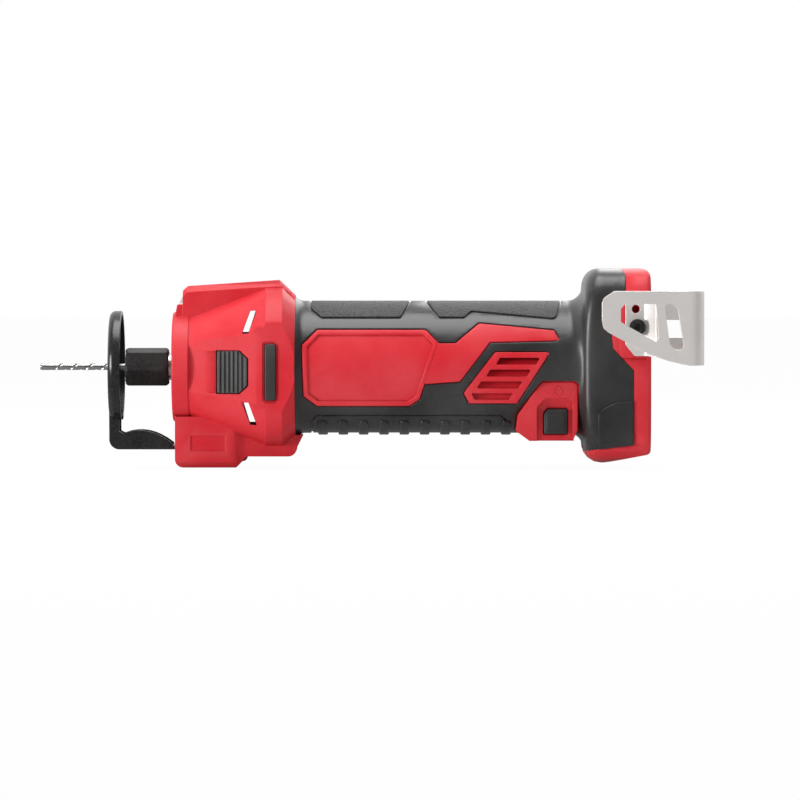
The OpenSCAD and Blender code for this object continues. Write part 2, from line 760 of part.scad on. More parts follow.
// Slanted window of the work light
function lens_outline(grow) = let(low = [nose_x + lens_setback, lens_base_z],
    high = [hood_front_x + lens_lip, lens_base_z + lens_h])
    [low, high, high + [lens_t + grow, 0], low + [lens_t + lens_lean + grow, 0]];

block_round = 4;
block_rear_chamfer = 4.9;
block_chamfer = 3;
block_taper_l = 7;
spine_over = 0.6;
tongue_l = 3.4;
function block_outline() = let(r = block_round, rear = block_rear_chamfer) concat(
    [[block_x, -hood_base]],
    [for (i = [0:6]) let(a = 15*i) [block_x + r*(1 - cos(a)), r*(1 - sin(a)) - block_drop]],
    [[block_end_x - rear, -block_drop], [block_end_x, rear - block_drop], [block_end_x, -hood_base]]);
function spine_outline() = let(r = block_round, end = grip_x + spine_over,
    tongue = grip_x + tongue_l, top = -grip_r - 2*clear) concat(
    [[block_end_x - over, -hood_base], [block_end_x - over, -spine_drop]],
    [for (i = [0:6]) let(a = 15*i) [end - r*(1 - sin(a)), r*(1 - cos(a)) - spine_drop]],
    [[tongue, top - r/4], [tongue, top], [grip_x - slice, top], [grip_x - slice, -hood_base]]);
module guide_block() {
    chamfer = block_chamfer;
    intersection() {
        side_prism(block_outline(), -block_w/2, block_w/2);
        plan_prism(mirrored([[block_x - over, block_w/2], [block_end_x - block_taper_l, block_w/2],
            [block_end_x + over, spine_w/2 - chamfer/2]]), -block_drop - over, 0);
        end_prism(mirrored_y([[block_w/2 - chamfer, -block_drop], [block_w/2, chamfer - block_drop],
            [block_w/2, 0]]), block_x - over, block_end_x + over);
    }
    side_prism(spine_outline(), -spine_w/2, spine_w/2);
}

// Air slits: leaning slots through both side walls, a little further forward on the right
slit_w = 3.1;
slit_right = 1.6;
slit_lean = 3.8;
slit_ahead = 10.4;
slit_x = cone_end_x - slit_ahead;
slit_low = 16.7;
slit_high = 27.7;
function slit(side, x) = [[x, side*slit_low], [x + slit_w, side*slit_low],
    [x + slit_w + slit_lean, side*slit_high], [x + slit_lean, side*slit_high]];

// Lock button outline in the side view, grown all round by a clearance
lock_c = 4.1;
lock_corner_share = 0.93;
function lock_outline(grow) = let(a = lock_x - grow, b = lock_x + lock_l + grow,
    low = lock_z - lock_h/2 - grow, high = lock_z + lock_h/2 + grow, c = lock_c, d = lock_c*lock_corner_share)
    [[a, low], [b - c, low], [b, low + d], [b, high - d], [b - c, high], [a, high]];
lock_cup_wall = 2;
lock_ramp_l = 6;
module lock_cup() intersection() {
    side_prism(in_cup(), -band_r, -lock_floor_y + lock_floor_t);
    plan_prism([[cone_x - over, -lock_floor_y + lock_floor_t], [cone_x - over, -flat_y(cone_x - over) + edge],
        [flat_x, edge - nose_w/2], [flat_x, -lock_floor_y + lock_floor_t]], -band_r, band_r);
}
function in_cup() = let(w = lock_cup_wall + clear, a = lock_x - lock_ramp_l - w, b = lock_x + lock_l + w,
    low = lock_z - lock_h/2 - w, high = lock_z + lock_h/2 + w) [[a, low], [b, low], [b, high], [a, high]];
module lock_pocket() {
    side_prism(lock_outline(clear), -band_r - over, -lock_floor_y);
    low = lock_z - lock_h/2;
    plan_prism([[lock_x - lock_ramp_l, -flat_y(lock_x - lock_ramp_l)], [lock_x, -lock_inner_y - over],
        [lock_x, -band_r], [lock_x - lock_ramp_l, -band_r]], low, low + lock_h);
}

// Bumper strips let into the rear band
bumper_w = 5.2;
bumper_h = 27.2;
bumper_margin = 1.1;
bumper_recess = 0.6;
bumper_proud = 1.2;
bumper_deep = 1.4;
bumper_x = cone_end_x + band_step;
module bumper_shape(grow) {
    r = bumper_w/4;
    x0 = bumper_x - grow;
    z0 = lock_z - bumper_h/2 - grow;
    w = bumper_w + 2*grow;
    h = bumper_h + 2*grow;
    translate([x0, z0 + r]) square([w, h - 2*r]);
    translate([x0 + r, z0]) square([w - 2*r, h]);
    for (x = [x0 + r, x0 + w - r], z = [z0 + r, z0 + h - r]) translate([x, z]) circle(r);
}

badge_l = 17;
badge_h = 7.4;
badge_deep = 0.6;
badge_drop = 37.1;
module nose_housing() color(red) difference() {
    union() {
        difference() {
            union() {
                nose_cone();
                hood();
                guide_block();
            }
            nose_cavity();
            box([hood_front_x + lens_t, light_margin - lens_w/2, lens_base_z],
                [hood_front_x + light_bay_l, lens_w/2 - light_margin, lens_base_z + lens_h + light_margin]);
            side_prism(lens_outline(over), -lens_w/2 - seat_gap, lens_w/2 + seat_gap);
            for (side = [-1, 1]) {
                side_prism(slit(side, slit_x), -band_r - over, 0);
                side_prism(slit(side, slit_x - slit_right), 0, band_r + over);
            }
        }
        along_x(front_bearing_x - over) tube(front_bearing_d/2 + sleeve_wall, front_bearing_d/2,
            front_bearing_l + over + edge);
        along_x(grip_x - rear_wall) tube(spigot_r, spigot_bore_r, spigot_l + rear_wall);
        lock_cup();
        along_y([lock_mid_x, -lock_floor_y + lock_floor_t - slice, 0])
            cylinder(d = lock_boss_d, h = lock_floor_y - lock_floor_t - lock_ring_gap - edge);
    }
    along_x(nose_x - over) cylinder(d = spindle_d + 2*over, h = front_wall + 2*over);
    along_x(front_bearing_x) cylinder(d = front_bearing_d + 2*seat_gap, h = front_bearing_l + over);
    along_x(grip_x - rear_wall - over) cylinder(r = spigot_bore_r, h = rear_wall + 2*over);
    along_x(key_x - clear) tube(spigot_r + over, spigot_r - key_depth, key_l + 2*clear);
    lock_pocket();
    along_y([lock_mid_x, -lock_floor_y - over, 0])
        cylinder(d = lock_pin_d + 2*run_fit, h = lock_floor_y);
    box([block_x - over, -arm_w/2 - clear, -arm_drop - run_fit],
        [arm_end_x + clear, arm_w/2 + clear, -arm_drop + guide_sheet + clear]);
    box([clamp_x - lever_root_d/2, -cam_w/2 - clear, -block_drop - over],
        [clamp_x + lever_root_d/2, cam_w/2 + clear, -arm_drop]);
    along_y([clamp_x, -block_w/4 - clear, clamp_z])
        cylinder(d = clamp_shaft_d + 2*run_fit, h = block_w + over);
    for (side = [-1, 1]) {
        for (cut = [[bumper_deep, clear], [bumper_recess, bumper_margin]])
            side_shape(side > 0 ? nose_w/2 - cut[0] : -band_r, side > 0 ? band_r : cut[0] - nose_w/2)
                bumper_shape(cut[1]);
        badge_z = -badge_drop;
        box([cone_x, side > 0 ? block_w/2 - badge_deep : -block_w, badge_z - badge_h/2],
            [cone_x + badge_l, side > 0 ? block_w : badge_deep - block_w/2, badge_z + badge_h/2]);
    }
}

module work_light_lens() color([0.9, 0.92, 0.95]) side_prism(lens_outline(0), -lens_w/2, lens_w/2);
module work_light_board() color([0.1, 0.35, 0.16]) {
    t = light_board_t;
    x = hood_front_x + 2*lens_t + t;
    box([x, light_margin + clear - lens_w/2, lens_base_z + seat_gap],
        [x + t, lens_w/2 - light_margin - clear, lens_base_z + lens_h + light_margin - clear]);
    for (side = [-1, 1]) box([x - t, side*lens_w/4 - t, lens_base_z + lens_h/2 - t],
        [x, side*lens_w/4 + t, lens_base_z + lens_h/2 + t]);
}
module side_bumpers() color(charcoal) for (side = [-1, 1])
    side_shape(side > 0 ? nose_w/2 - bumper_deep : -nose_w/2 - bumper_proud,
        side > 0 ? nose_w/2 + bumper_proud : bumper_deep - nose_w/2) bumper_shape(0);

// Spindle lock: ribbed button, pin and spring
lock_ribs = 6;
spring_clear = 0.9;
spring_wire_r = 0.3;
spring_turns = 3;
module lock_button() color(charcoal) difference() {
    intersection() {
        side_prism(lock_outline(0), -band_r, -lock_inner_y);
        plan_prism([[lock_x - over, -lock_inner_y], [lock_x - over, -flat_y(lock_x - over) - lock_proud],
            [lock_x + lock_l + over, -flat_y(lock_x + lock_l + over) - lock_proud],
            [lock_x + lock_l + over, -lock_inner_y]], -band_r, band_r);
    }
    pitch = lock_l/(lock_ribs + 1);
    for (i = [1:lock_ribs]) {
        x = lock_x + i*pitch;
        box([x - pitch/5, -flat_y(x) - lock_proud - over, lock_z - lock_h/2 - over],
            [x + pitch/5, -flat_y(x) - lock_proud + pitch/3, lock_z + lock_h/2 + over]);
    }
    along_y([lock_mid_x, -lock_inner_y - lock_travel, 0])
        cylinder(d = lock_pin_d + 2*seat_gap, h = lock_travel + over);
}
module lock_pin() color(steel) along_y([lock_mid_x, -lock_inner_y - lock_travel + seat_gap, 0])
    cylinder(d = lock_pin_d, h = lock_inner_y + lock_travel - lock_ring_gap - seat_gap);
module lock_spring() color(steel) along_y([lock_mid_x, -lock_inner_y, 0])
    coil(lock_pin_d/2 + spring_clear, spring_wire_r, lock_inner_y - lock_floor_y, spring_turns);

// Grip and foot: one loft, round at the grip, flaring to a rounded rectangle at the foot
round_power = 2;
foot_power = 5;
flare_steps = 4;
flare_share = 0.48;
function body_section(f, inset, points) = let(n = 2/mix(round_power, foot_power, f),
    side = mix(grip_r, foot_w/2, f) - inset, up = mix(grip_r, foot_top, f) - inset,
    down = mix(grip_r, foot_drop, f) - inset)
    [for (i = [0:points - 1]) let(a = 360*i/points, c = cos(a), s = sin(a))
        [side*sign(c)*pow(abs(c), n), (s > 0 ? up : down)*sign(s)*pow(abs(s), n)]];
// Stations [x, share of the flare]: a hollow quarter arc into a crowned quarter arc
function body_stations(inset) = let(rise = foot_top - grip_r, hollow = rise*flare_share,
    crown = rise - hollow, x = foot_x + inset) concat([[grip_x, 0]],
    [for (i = [0:flare_steps]) let(a = 90*i/flare_steps) [x - hollow*(1 - sin(a)), flare_share*(1 - cos(a))]],
    [for (i = [1:flare_steps]) let(a = 90*i/flare_steps)
        [x + crown*(1 - cos(a)), flare_share + (1 - flare_share)*sin(a)]],
    [[rear_x, 1]]);
module body_slice(station, inset, points)
    end_prism(body_section(station[1], inset, points), station[0] - slice/2, station[0] + slice/2);
module body_loft(inset, points = section_points) {
    s = body_stations(inset);
    difference() {
        for (i = [0:len(s) - 2]) hull() {
            body_slice(s[i], inset, points);
            body_slice(s[i + 1], inset, points);
        }
        foot_trim(inset);
    }
}
// Sloping underside and rounded rear top of the foot
foot_slope_setback = 8.6;
foot_slope_x = foot_x + foot_slope_setback;
foot_round = 4.5;
module foot_trim(inset) {
    end_x = rear_x + over;
    slope = foot_lift/(rear_x - foot_slope_x);
    side_prism([[foot_slope_x, inset - foot_drop], [end_x, inset - foot_drop + slope*(end_x - foot_slope_x)],
        [end_x, -foot_drop - over], [foot_slope_x, -foot_drop - over]], -foot_w, foot_w);
    side_prism(concat([[end_x, foot_top + over], [rear_x - foot_round, foot_top + over]],
        [for (i = [0:4]) let(a = 22.5*i) [rear_x - foot_round + foot_round*sin(a),
            foot_top - inset - foot_round*(1 - cos(a))]], [[end_x, foot_top - inset - foot_round]]),
        -foot_w, foot_w);
}

// Side-view outlines of the red areas, as shares of their own boxes
plate_shares = [[0, 0.8], [0.11, 1], [0.905, 1], [1, 0.83], [0.897, 0.29], [0.86, 0.09], [0.785, 0],
    [0.11, 0], [0.012, 0.13]];
band_shares = [[0.06, 0.674], [0.215, 0.674], [0.395, 1], [0.96, 0.885], [1, 0.725], [0.475, 0.695],
    [0.247, 0.043], [-0.035, 0]];
vent_shares = [[0.385, 0.985], [1.03, 0.985], [0.64, 0], [0.08, 0], [0.015, 0.2]];
switch_shares = [[0.424, 1], [0.94, 1], [1, 0.956], [1, 0.18], [0.92, 0], [0.217, 0], [0, 0.165],
    [0.03, 0.435], [0.3, 0.847]];
plate_setback = 3.6;
plate_x = grip_x + plate_setback;
function plate_outline() = in_box(plate_shares, plate_x, -plate_h/2, plate_l, plate_h);
band_gap = 1.2;
band_x = plate_x + plate_l*plate_shares[4][0] + band_gap;
band_l = 64.2;
band_z = -7.8;
band_h = 29.4;
function band_outline() = in_box(band_shares, band_x, band_z, band_l, band_h);
vent_setback = 81.4;
vent_x = grip_x + vent_setback;
vent_l = 41.1;
vent_z = -17.2;
vent_panel_h = 25.3;
function vent_outline() = in_box(vent_shares, vent_x, vent_z, vent_l, vent_panel_h);
function switch_outline() = in_box(switch_shares, switch_x, -switch_drop, switch_l, switch_h);

// Air slots: leaning rows that follow the vent panel's slanted ends
slot_margin_share = 0.119;
slot_step_share = 0.228;
slot_l_share = 0.487;
slot_lean_share = 0.112;
slot_in_share = 0.44;
slot_slant_share = 0.6;
slot_edge = 1.8;
module air_slots() side_shape(-grip_d, grip_d) intersection() {
    offset(delta = -slot_edge) polygon(vent_outline());
    for (i = [0:vent_count - 1]) {
        high = vent_z + vent_panel_h*(1 - slot_margin_share - i*slot_step_share);
        lean = vent_h*slot_slant_share;
        x = vent_x + vent_l*(slot_in_share - i*slot_lean_share);
        l = vent_l*slot_l_share;
        polygon([[x, high], [x + l, high], [x + l - lean, high - vent_h], [x - lean, high - vent_h]]);
    }
}

// Red foot rim: what the rubber leaves bare behind and below
rim_shares = [[0.5, 1.05], [0.62, 0.94], [0.62, 0.78], [0.42, 0.64], [0.4, 0.33], [0.42, 0.2], [0.735, -0.02],
    [0.735, -0.77], [0.22, -0.81], [-0.09, -0.85], [-0.09, -1.2], [1.1, -1.2], [1.1, 1.2], [0.5, 1.2]];
function rim_outline() = in_box(rim_shares, foot_x, 0, foot_l, foot_top);

// Switch block: its side faces lean in towards the underside
switch_draft = 2.5;
module switch_block(inset, half_w, draft) intersection() {
    side_shape(-switch_w, switch_w) offset(delta = -inset) polygon(switch_outline());
    end_prism(mirrored_y([[half_w - draft, -switch_drop], [half_w, button_z + button_h/2], [half_w, 0]]),
        switch_x - over, switch_x + switch_l + over);
}
// Button well: a finger ramp above, and the button's own hole through the floor
well_front = 3.4;
well_rear = 2.6;
well_below = 0.8;
well_ramp = 5.2;
well_corner = 1.4;
well_slope = 4;
function well_outline() = let(a = button_x - button_l/2 - well_front, b = button_x + button_l/2 + well_rear,
    low = button_z - button_h/2 - well_below, high = button_z + button_h/2 + well_ramp)
    [[a, low], [b, low], [b, high - well_corner], [b - well_corner, high], [a + well_slope, high],
        [a, high - well_slope]];
module button_well() {
    intersection() {
        side_prism(well_outline(), -switch_w, -button_floor_y);
        end_prism([[-switch_w, -switch_drop], [-button_floor_y, -switch_drop],
            [-button_floor_y, button_z + button_h/2],
            [-switch_w/2 - clear, button_z + button_h/2 + well_ramp],
            [-switch_w, button_z + button_h/2 + well_ramp]], switch_x - over, switch_x + switch_l + over);
    }
    side_prism(button_outline(clear), -switch_w, 0);
}
button_c = 2;
function button_outline(grow) = let(a = button_x - button_l/2 - grow, b = button_x + button_l/2 + grow,
    low = button_z - button_h/2 - grow, high = button_z + button_h/2 + grow)
    [[a, low], [b, low], [b, high], [a + button_c, high], [a, high - button_c]];

// Clamshell
hook_seat_h = 30;
hook_seat_margin = 1;
rail_start = 4;
plate_rim = 2.4;
module shell_solid() {
    body_loft(skin);
    intersection() {
        body_loft(0);
        side_shape(-foot_w, foot_w) {
            polygon(plate_outline());
            polygon(band_outline());
            polygon(vent_outline());
            polygon(rim_outline());
        }
    }
    switch_block(0, switch_w/2, switch_draft);
    box([hook_pad_x - hook_seat_margin, -hook_seat_y, hook_screw_z - hook_seat_h/2],
        [hook_jog_x + hook_seat_margin, -bay_w/2, hook_screw_z + hook_seat_h/2]);
}
module shell_hollow() {
    intersection() {
        body_loft(skin + shell_wall, hollow_points);
        box([grip_x - over, -foot_w, -foot_top], [bay_x - shell_wall, foot_w, foot_top]);
    }
    switch_block(shell_wall, switch_hollow_y, 0);
    box([bay_x, -bay_w/2, -2*foot_drop], [rear_x + over, bay_w/2, bay_top]);
    box([bay_x - shell_wall - over, -terminal_w/2 - clear, terminal_z - clear],
        [bay_x + over, terminal_w/2 + clear, terminal_z + terminal_h + clear]);
    air_slots();
}
// Half ring or web inside the grip, with a round seat of radius r
module web(x, t, r) along_x(x) difference() {
    cylinder(r = inner_r + shell_wall/2, h = t, $fn = web_points);
    translate([0, 0, -over]) cylinder(r = r, h = t + 2*over, $fn = web_points);
}
module shell_inside() {
    web(key_x, key_l, spigot_r - key_depth + clear);
    for (x = [can_x + can_l*can_rib_share, can_x + can_l*(1 - can_rib_share)]) web(x, rib_t, can_r + clear);
    web(rear_bearing_x + rear_bearing_l/2 - rib_t, 2*rib_t, rear_bearing_d/2 + rear_seat_t + clear);
    for (p = board_posts, side = [-1, 1]) intersection() {
        along_y([p[0], side > 0 ? board_w/2 + clear : -grip_r, p[1]])
            cylinder(d = post_d, h = grip_r - board_w/2 - clear, $fn = boss_points);
        body_loft(skin + shell_wall/2, hollow_points);
    }
    for (p = screw_places) intersection() {
        along_y([p[0], -foot_w/2, p[1]]) cylinder(d = boss_d, h = foot_w, $fn = boss_points);
        body_loft(skin + shell_wall/2, hollow_points);
    }
    for (side = [-1, 1]) box([rear_x - rail_t, side > 0 ? bay_w/2 - rail_lip : -bay_w/2 - over,
        foot_lift + rail_start - foot_drop],
        [rear_x, side > 0 ? bay_w/2 + over : rail_lip - bay_w/2, bay_top]);
}
module screw_holes() for (p = screw_places) {
    along_y([p[0], screw_seat_y - screw_l - clear, p[1]])
        cylinder(d = screw_d + 2*run_fit, h = screw_l + over, $fn = boss_points);
    along_y([p[0], screw_seat_y, p[1]])
        cylinder(d = screw_head_d + 2*clear, h = foot_w, $fn = boss_points);
}
module plate_recess_cut() {
    difference() {
        side_shape(-foot_w, foot_w) offset(delta = -plate_rim) polygon(plate_outline());
        body_loft(plate_recess);
    }
}
module shell_half(side) intersection() {
    difference() {
        union() {
            difference() {
                shell_solid();
                shell_hollow();
            }
            shell_inside();
        }
        along_x(can_x - clear) cylinder(r = can_r + clear, h = can_l + 2*clear, $fn = web_points);
        plate_recess_cut();
        screw_holes();
        motor_lead_runs(lead_d/2 + clear);
        if (side < 0) {
            button_well();
            along_y([hook_screw_x, -hook_seat_y - over, hook_screw_z])
                cylinder(d = hook_screw_d + 2*run_fit, h = hook_screw_l + over, $fn = boss_points);
        }
    }
    box([grip_x, side < 0 ? -foot_w : 0, -foot_top - over], [rear_x, side < 0 ? 0 : foot_w, foot_top + over]);
}
module left_shell() color(red) shell_half(-1);
module right_shell() color(red) shell_half(1);

// Rubber overmould, with pads on top and ribs underneath
pad_shares = [[0.052, 1.2], [0.052, 0.885], [0.09, 0.75], [0.368, 0.75], [0.398, 0.99], [0.398, 1.2]];
rear_pad_shares = [[0.455, 1.2], [0.455, 0.99], [0.499, 0.75], [0.587, 0.75], [0.612, 0.845], [0.892, 0.735],
    [0.907, 0.76], [0.923, 0.98], [0.923, 1.2]];
rib_panel_shares = [[0.058, -0.79], [0.075, -0.72], [0.716, -0.72], [0.733, -0.81], [0.733, -1.2],
    [0.058, -1.2]];
foot_pad_shares = [[0.27, -0.8], [0.27, -0.52], [0.55, -0.3], [0.71, -0.3], [0.71, -0.78]];
foot_pad_h = 0.5;
groove_deep = 0.8;
// Raised collar at the rubber's front edge, open below for the nose's spine
collar_rise = 1.9;
collar_l = 4.4;
module collar() difference() {
    along_x(grip_x) cylinder(r1 = grip_r + collar_rise, r2 = grip_r - slice, h = collar_l);
    box([grip_x - over, -spine_w/2 - 2*clear, -2*grip_r],
        [grip_x + tongue_l + 2*clear, spine_w/2 + 2*clear, 0]);
}
module pad_outlines() {
    polygon(in_box(pad_shares, grip_x, 0, grip_l, grip_r));
    polygon(in_box(rear_pad_shares, grip_x, 0, grip_l, grip_r));
    polygon(in_box(rib_panel_shares, grip_x, 0, grip_l, grip_r));
}
module overmould_half(side) intersection() {
    difference() {
        union() {
            body_loft(0);
            collar();
            intersection() {
                body_loft(-rib_h);
                for (i = [0:rib_count - 1]) box([rib_x + i*rib_pitch, -grip_r, -2*grip_r],
                    [rib_x + i*rib_pitch + rib_w, grip_r, -grip_r*rib_top_share]);
            }
            intersection() {
                body_loft(-foot_pad_h);
                side_prism(in_box(foot_pad_shares, foot_x, 0, foot_l, foot_top), -foot_w, foot_w);
            }
        }
        body_loft(skin);
        side_shape(-foot_w, foot_w) {
            offset(delta = groove_w) {
                polygon(plate_outline());
                polygon(band_outline());
                polygon(vent_outline());
            }
            polygon(rim_outline());
        }
        side_shape(-foot_w, foot_w) offset(delta = groove_w) polygon(switch_outline());
        difference() {
            side_shape(-foot_w, foot_w) difference() {
                offset(delta = groove_w/2) pad_outlines();
                offset(delta = -groove_w/2) pad_outlines();
            }
            body_loft(groove_deep);
        }
        screw_holes();
    }
    box([grip_x, side < 0 ? -foot_w : 0, -foot_top - over], [rear_x, side < 0 ? 0 : foot_w, foot_top + over]);
}
module left_overmould() color(charcoal) overmould_half(-1);
module right_overmould() color(charcoal) overmould_half(1);

module shell_screws() color(steel) for (p = screw_places) along_y([p[0], screw_seat_y - screw_l, p[1]]) {
    cylinder(d = screw_d, h = screw_l);
    translate([0, 0, screw_l]) difference() {
        cylinder(d = screw_head_d, h = screw_head_h);
        translate([0, 0, screw_head_h/2]) cylinder(d = screw_d, h = screw_head_h, $fn = 6);
    }
}

// Push button, its spring and the switch behind it
module push_button() color(black) {
    side_prism(button_outline(0), -button_face_y, -button_root_y);
    side_prism(button_outline(button_flange), -button_root_y - button_flange_t, -button_root_y);
    along_y([button_x, -button_root_y - seat_gap, button_z])
        cylinder(d = plunger_d, h = button_root_y - plunger_y - button_travel - clear);
}
module button_spring() color(steel) along_y([button_x, -button_root_y, button_z])
    coil(plunger_d/2 + spring_clear, spring_wire_r, button_root_y - plunger_y, spring_turns);
switch_body_l = 14;
switch_body_h = 15;
switch_body_z = shell_wall + clear - switch_drop;
module switch_module() color(black) box([button_x - switch_body_l/2, -plunger_y, switch_body_z],
    [button_x + switch_body_l/2, plunger_y/3, switch_body_z + switch_body_h]);

// Control board: potted in an upright tray, held by posts on the clamshell's inner walls
board_x = vent_x;
board_l = 34;
board_h = 27;
board_z = -15;
board_w = 9;
board_t = 1.6;
post_d = 5;
board_posts = [for (i = [1, 3]) [board_x + i*board_l/4, board_z + board_h - post_d/2]];
module control_board() color([0.1, 0.35, 0.16]) {
    box([board_x, -board_w/2, board_z], [board_x + board_l, board_w/2, board_z + board_h]);
    part = board_l/5;
    for (y = [board_w/2, -board_w/2 - board_t], i = [1:3])
        box([board_x + i*part, y, board_z + part/2],
            [board_x + i*part + part/2, y + board_t, board_z + 2*part]);
}

// Terminal block and contacts in the battery bay
terminal_w = 27;
terminal_h = 26;
terminal_z = 6;
terminal_flange = 2;
terminal_proud = 6.4;
contact_t = 0.8;
contact_drop = 9;
contact_l = 4.6;
contact_setback = 1;
module terminal_block() color(black) difference() {
    root_x = bay_x - shell_wall;
    flange = terminal_flange;
    union() {
        box([root_x, -terminal_w/2, terminal_z],
            [bay_x + terminal_proud, terminal_w/2, terminal_z + terminal_h]);
        box([root_x - flange, -terminal_w/2 - flange, terminal_z - flange],
            [root_x, terminal_w/2 + flange, terminal_z + terminal_h + flange]);
    }
    contact_blades(2*seat_gap);
}
module contact_blades(grow) {
    pitch = terminal_w/contact_count;
    x = bay_x + contact_setback;
    for (i = [0:contact_count - 1]) {
        y = (i - (contact_count - 1)/2)*pitch;
        box([x - grow/2, y - contact_t/2 - grow/2, terminal_z - contact_drop],
            [x + contact_l + grow/2, y + contact_t/2 + grow/2, terminal_z + terminal_h/2 + grow/2]);
    }
}
module battery_contacts() color(copper) contact_blades(0);

// Leads: switch to terminal block, and switch to brush card
lead_d = 2.4;
// Leaves one end and meets the other square, with a straight stub at each
function lead_run(a, d, steps) = let(way = [sign(d[0] - a[0]), 0, 0], stub = way*lead_d,
    bow = way*abs(d[0] - a[0])/2, b = a + stub, c = d - stub)
    concat([a], curve(b, b + bow, c - bow, c, steps), [d]);
module battery_leads() color([0.6, 0.08, 0.08]) for (side = [-1, 1]) {
    a = [button_x + switch_body_l/2, side*lead_d - plunger_y/3, button_z + lead_d];
    d = [bay_x - shell_wall - terminal_flange, side*terminal_w/4, terminal_z + terminal_h/4];
    lead(lead_run(a, d, 12), lead_d/2);
}
module motor_leads() color([0.1, 0.1, 0.11]) motor_lead_runs(lead_d/2);
module motor_lead_runs(r) for (side = [-1, 1]) {
    a = [button_x - switch_body_l/2, side*lead_d - plunger_y/3, button_z + lead_d];
    d = [card_x + card_t, side*(can_r - 2*lead_d), -2*lead_d];
    lead(lead_run(a, d, 14), r);
}

// Belt hook: a strip bent in the plan view, with its legs cut to outline in the side view
hook_leg_shares = [[0.12, 1], [0.02, 0.91], [0, 0.84], [0, 0.6], [0.015, 0.5], [0.068, 0.44], [0.446, 0.157],
    [0.64, 0.064], [0.853, 0], [1.02, 0.03], [1.02, 1]];
hook_window_shares = [[0.184, 0.76], [0.223, 0.825], [0.523, 0.825], [0.552, 0.37], [0.523, 0.317],
    [0.184, 0.585]];
hook_slot_shares = [[0.61, 0.785], [0.63, 0.825], [0.68, 0.825], [0.737, 0.76], [0.795, 0.25], [0.757, 0.21],
    [0.708, 0.223], [0.66, 0.277]];
hook_pad_shares = [[0, 0.9], [0.08, 0.96], [0.4, 0.96], [0.5, 1], [1.05, 1], [1.05, 0.03], [0.7, 0],
    [0.45, 0.05], [0.28, 0.12], [0.12, 0.12], [0, 0.27]];
hook_inner_slot_shares = [[0.5, 0.375], [0.76, 0.375], [0.76, 0.61], [0.5, 0.61]];
hook_hole_d = 4;
hook_hole_ahead = 0.7;
hook_hole_up = 8.7;
hook_head_h = 3;
module hook_strip() {
    jog = hook_standoff;
    translate([hook_pad_x, -hook_seat_y - hook_sheet]) square([hook_pad_l, hook_sheet]);
    polygon([[hook_jog_x, -hook_seat_y], [hook_jog_x, -hook_seat_y - hook_sheet],
        [hook_jog_x + jog, -hook_inner_y - hook_sheet], [hook_jog_x + jog, -hook_inner_y]]);
    translate([hook_jog_x + jog, -hook_inner_y - hook_sheet])
        square([hook_bend_x - hook_jog_x - jog, hook_sheet]);
    translate([hook_bend_x, -hook_inner_y - hook_sheet - hook_bend_r]) intersection() {
        difference() {
            circle(hook_bend_r + hook_sheet);
            circle(hook_bend_r);
        }
        translate([0, -hook_gap]) square(2*hook_gap);
    }
    translate([hook_x, -hook_outer_y - hook_sheet]) square([hook_bend_x - hook_x, hook_sheet]);
}
module belt_hook() color(steel) {
    mid_y = -hook_inner_y - hook_sheet - hook_bend_r;
    inner_l = hook_x + hook_l - hook_pad_x;
    difference() {
        intersection() {
            translate([0, 0, hook_z]) linear_extrude(hook_h) hook_strip();
            side_prism(in_box(hook_leg_shares, hook_x, hook_z, hook_l, hook_h), -reach, mid_y);
        }
        side_prism(in_box(hook_window_shares, hook_x, hook_z, hook_l, hook_h), -reach, mid_y);
        side_prism(in_box(hook_slot_shares, hook_x, hook_z, hook_l, hook_h), -reach, mid_y);
    }
    difference() {
        intersection() {
            translate([0, 0, hook_z]) linear_extrude(hook_h) hook_strip();
            side_prism(in_box(hook_pad_shares, hook_pad_x, hook_z, inner_l, hook_h), mid_y, 0);
        }
        side_prism(in_box(hook_inner_slot_shares, hook_pad_x, hook_z, inner_l, hook_h), mid_y, 0);
        along_y([hook_screw_x, -reach, hook_screw_z]) cylinder(d = hook_screw_d + 2*run_fit, h = reach);
        along_y([hook_screw_x - hook_hole_ahead, -reach, hook_screw_z + hook_hole_up])
            cylinder(d = hook_hole_d, h = reach);
    }
}
module hook_screw() color(black) {
    head_h = hook_head_h;
    y = -hook_seat_y - hook_sheet;
    along_y([hook_screw_x, y - head_h, hook_screw_z]) difference() {
        union() {
            cylinder(d = hook_head_d, h = head_h);
            translate([0, 0, head_h]) cylinder(d = hook_screw_d, h = hook_screw_l);
        }
        translate([0, 0, -over]) cylinder(d = hook_screw_d, h = over + head_h/2, $fn = 6);
    }
}

cutting_bit();
collet_nut();
collet();
spindle_shaft();
lock_ring();
cooling_fan();
armature_core();
armature_windings();
commutator();
front_bearing_inner();
rear_bearing_inner();
depth_guide();
clamp_lever();
clamp_shaft();
nose_housing();
work_light_lens();
work_light_board();
side_bumpers();
lock_button();
lock_pin();
lock_spring();
left_shell();
right_shell();
left_overmould();
right_overmould();
shell_screws();
push_button();
button_spring();
switch_module();
control_board();
terminal_block();
battery_contacts();
battery_leads();
motor_leads();
belt_hook();
hook_screw();
motor_can();
motor_magnets();
brush_card();
carbon_brushes();
brush_springs();
front_bearing_outer();
front_bearing_balls();
rear_bearing_outer();
rear_bearing_balls();
rear_bearing_seat();
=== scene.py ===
"""Looks of a cordless drywall cut out tool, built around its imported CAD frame.

Pieces are modelled in millimetres on the bench and settled into metres, in the CAD's own frame:
X runs along the tool from the depth guide to the foot, Z is up, and the camera stands on the -Y side.
"""

from __future__ import annotations

import contextlib
import json
import logging
import math
from dataclasses import dataclass, field
from enum import Enum
from typing import Iterable, Iterator, Protocol, Sequence

import bmesh
import bpy
import numpy as np
from mathutils import Matrix, Vector
from mathutils.geometry import delaunay_2d_cdt

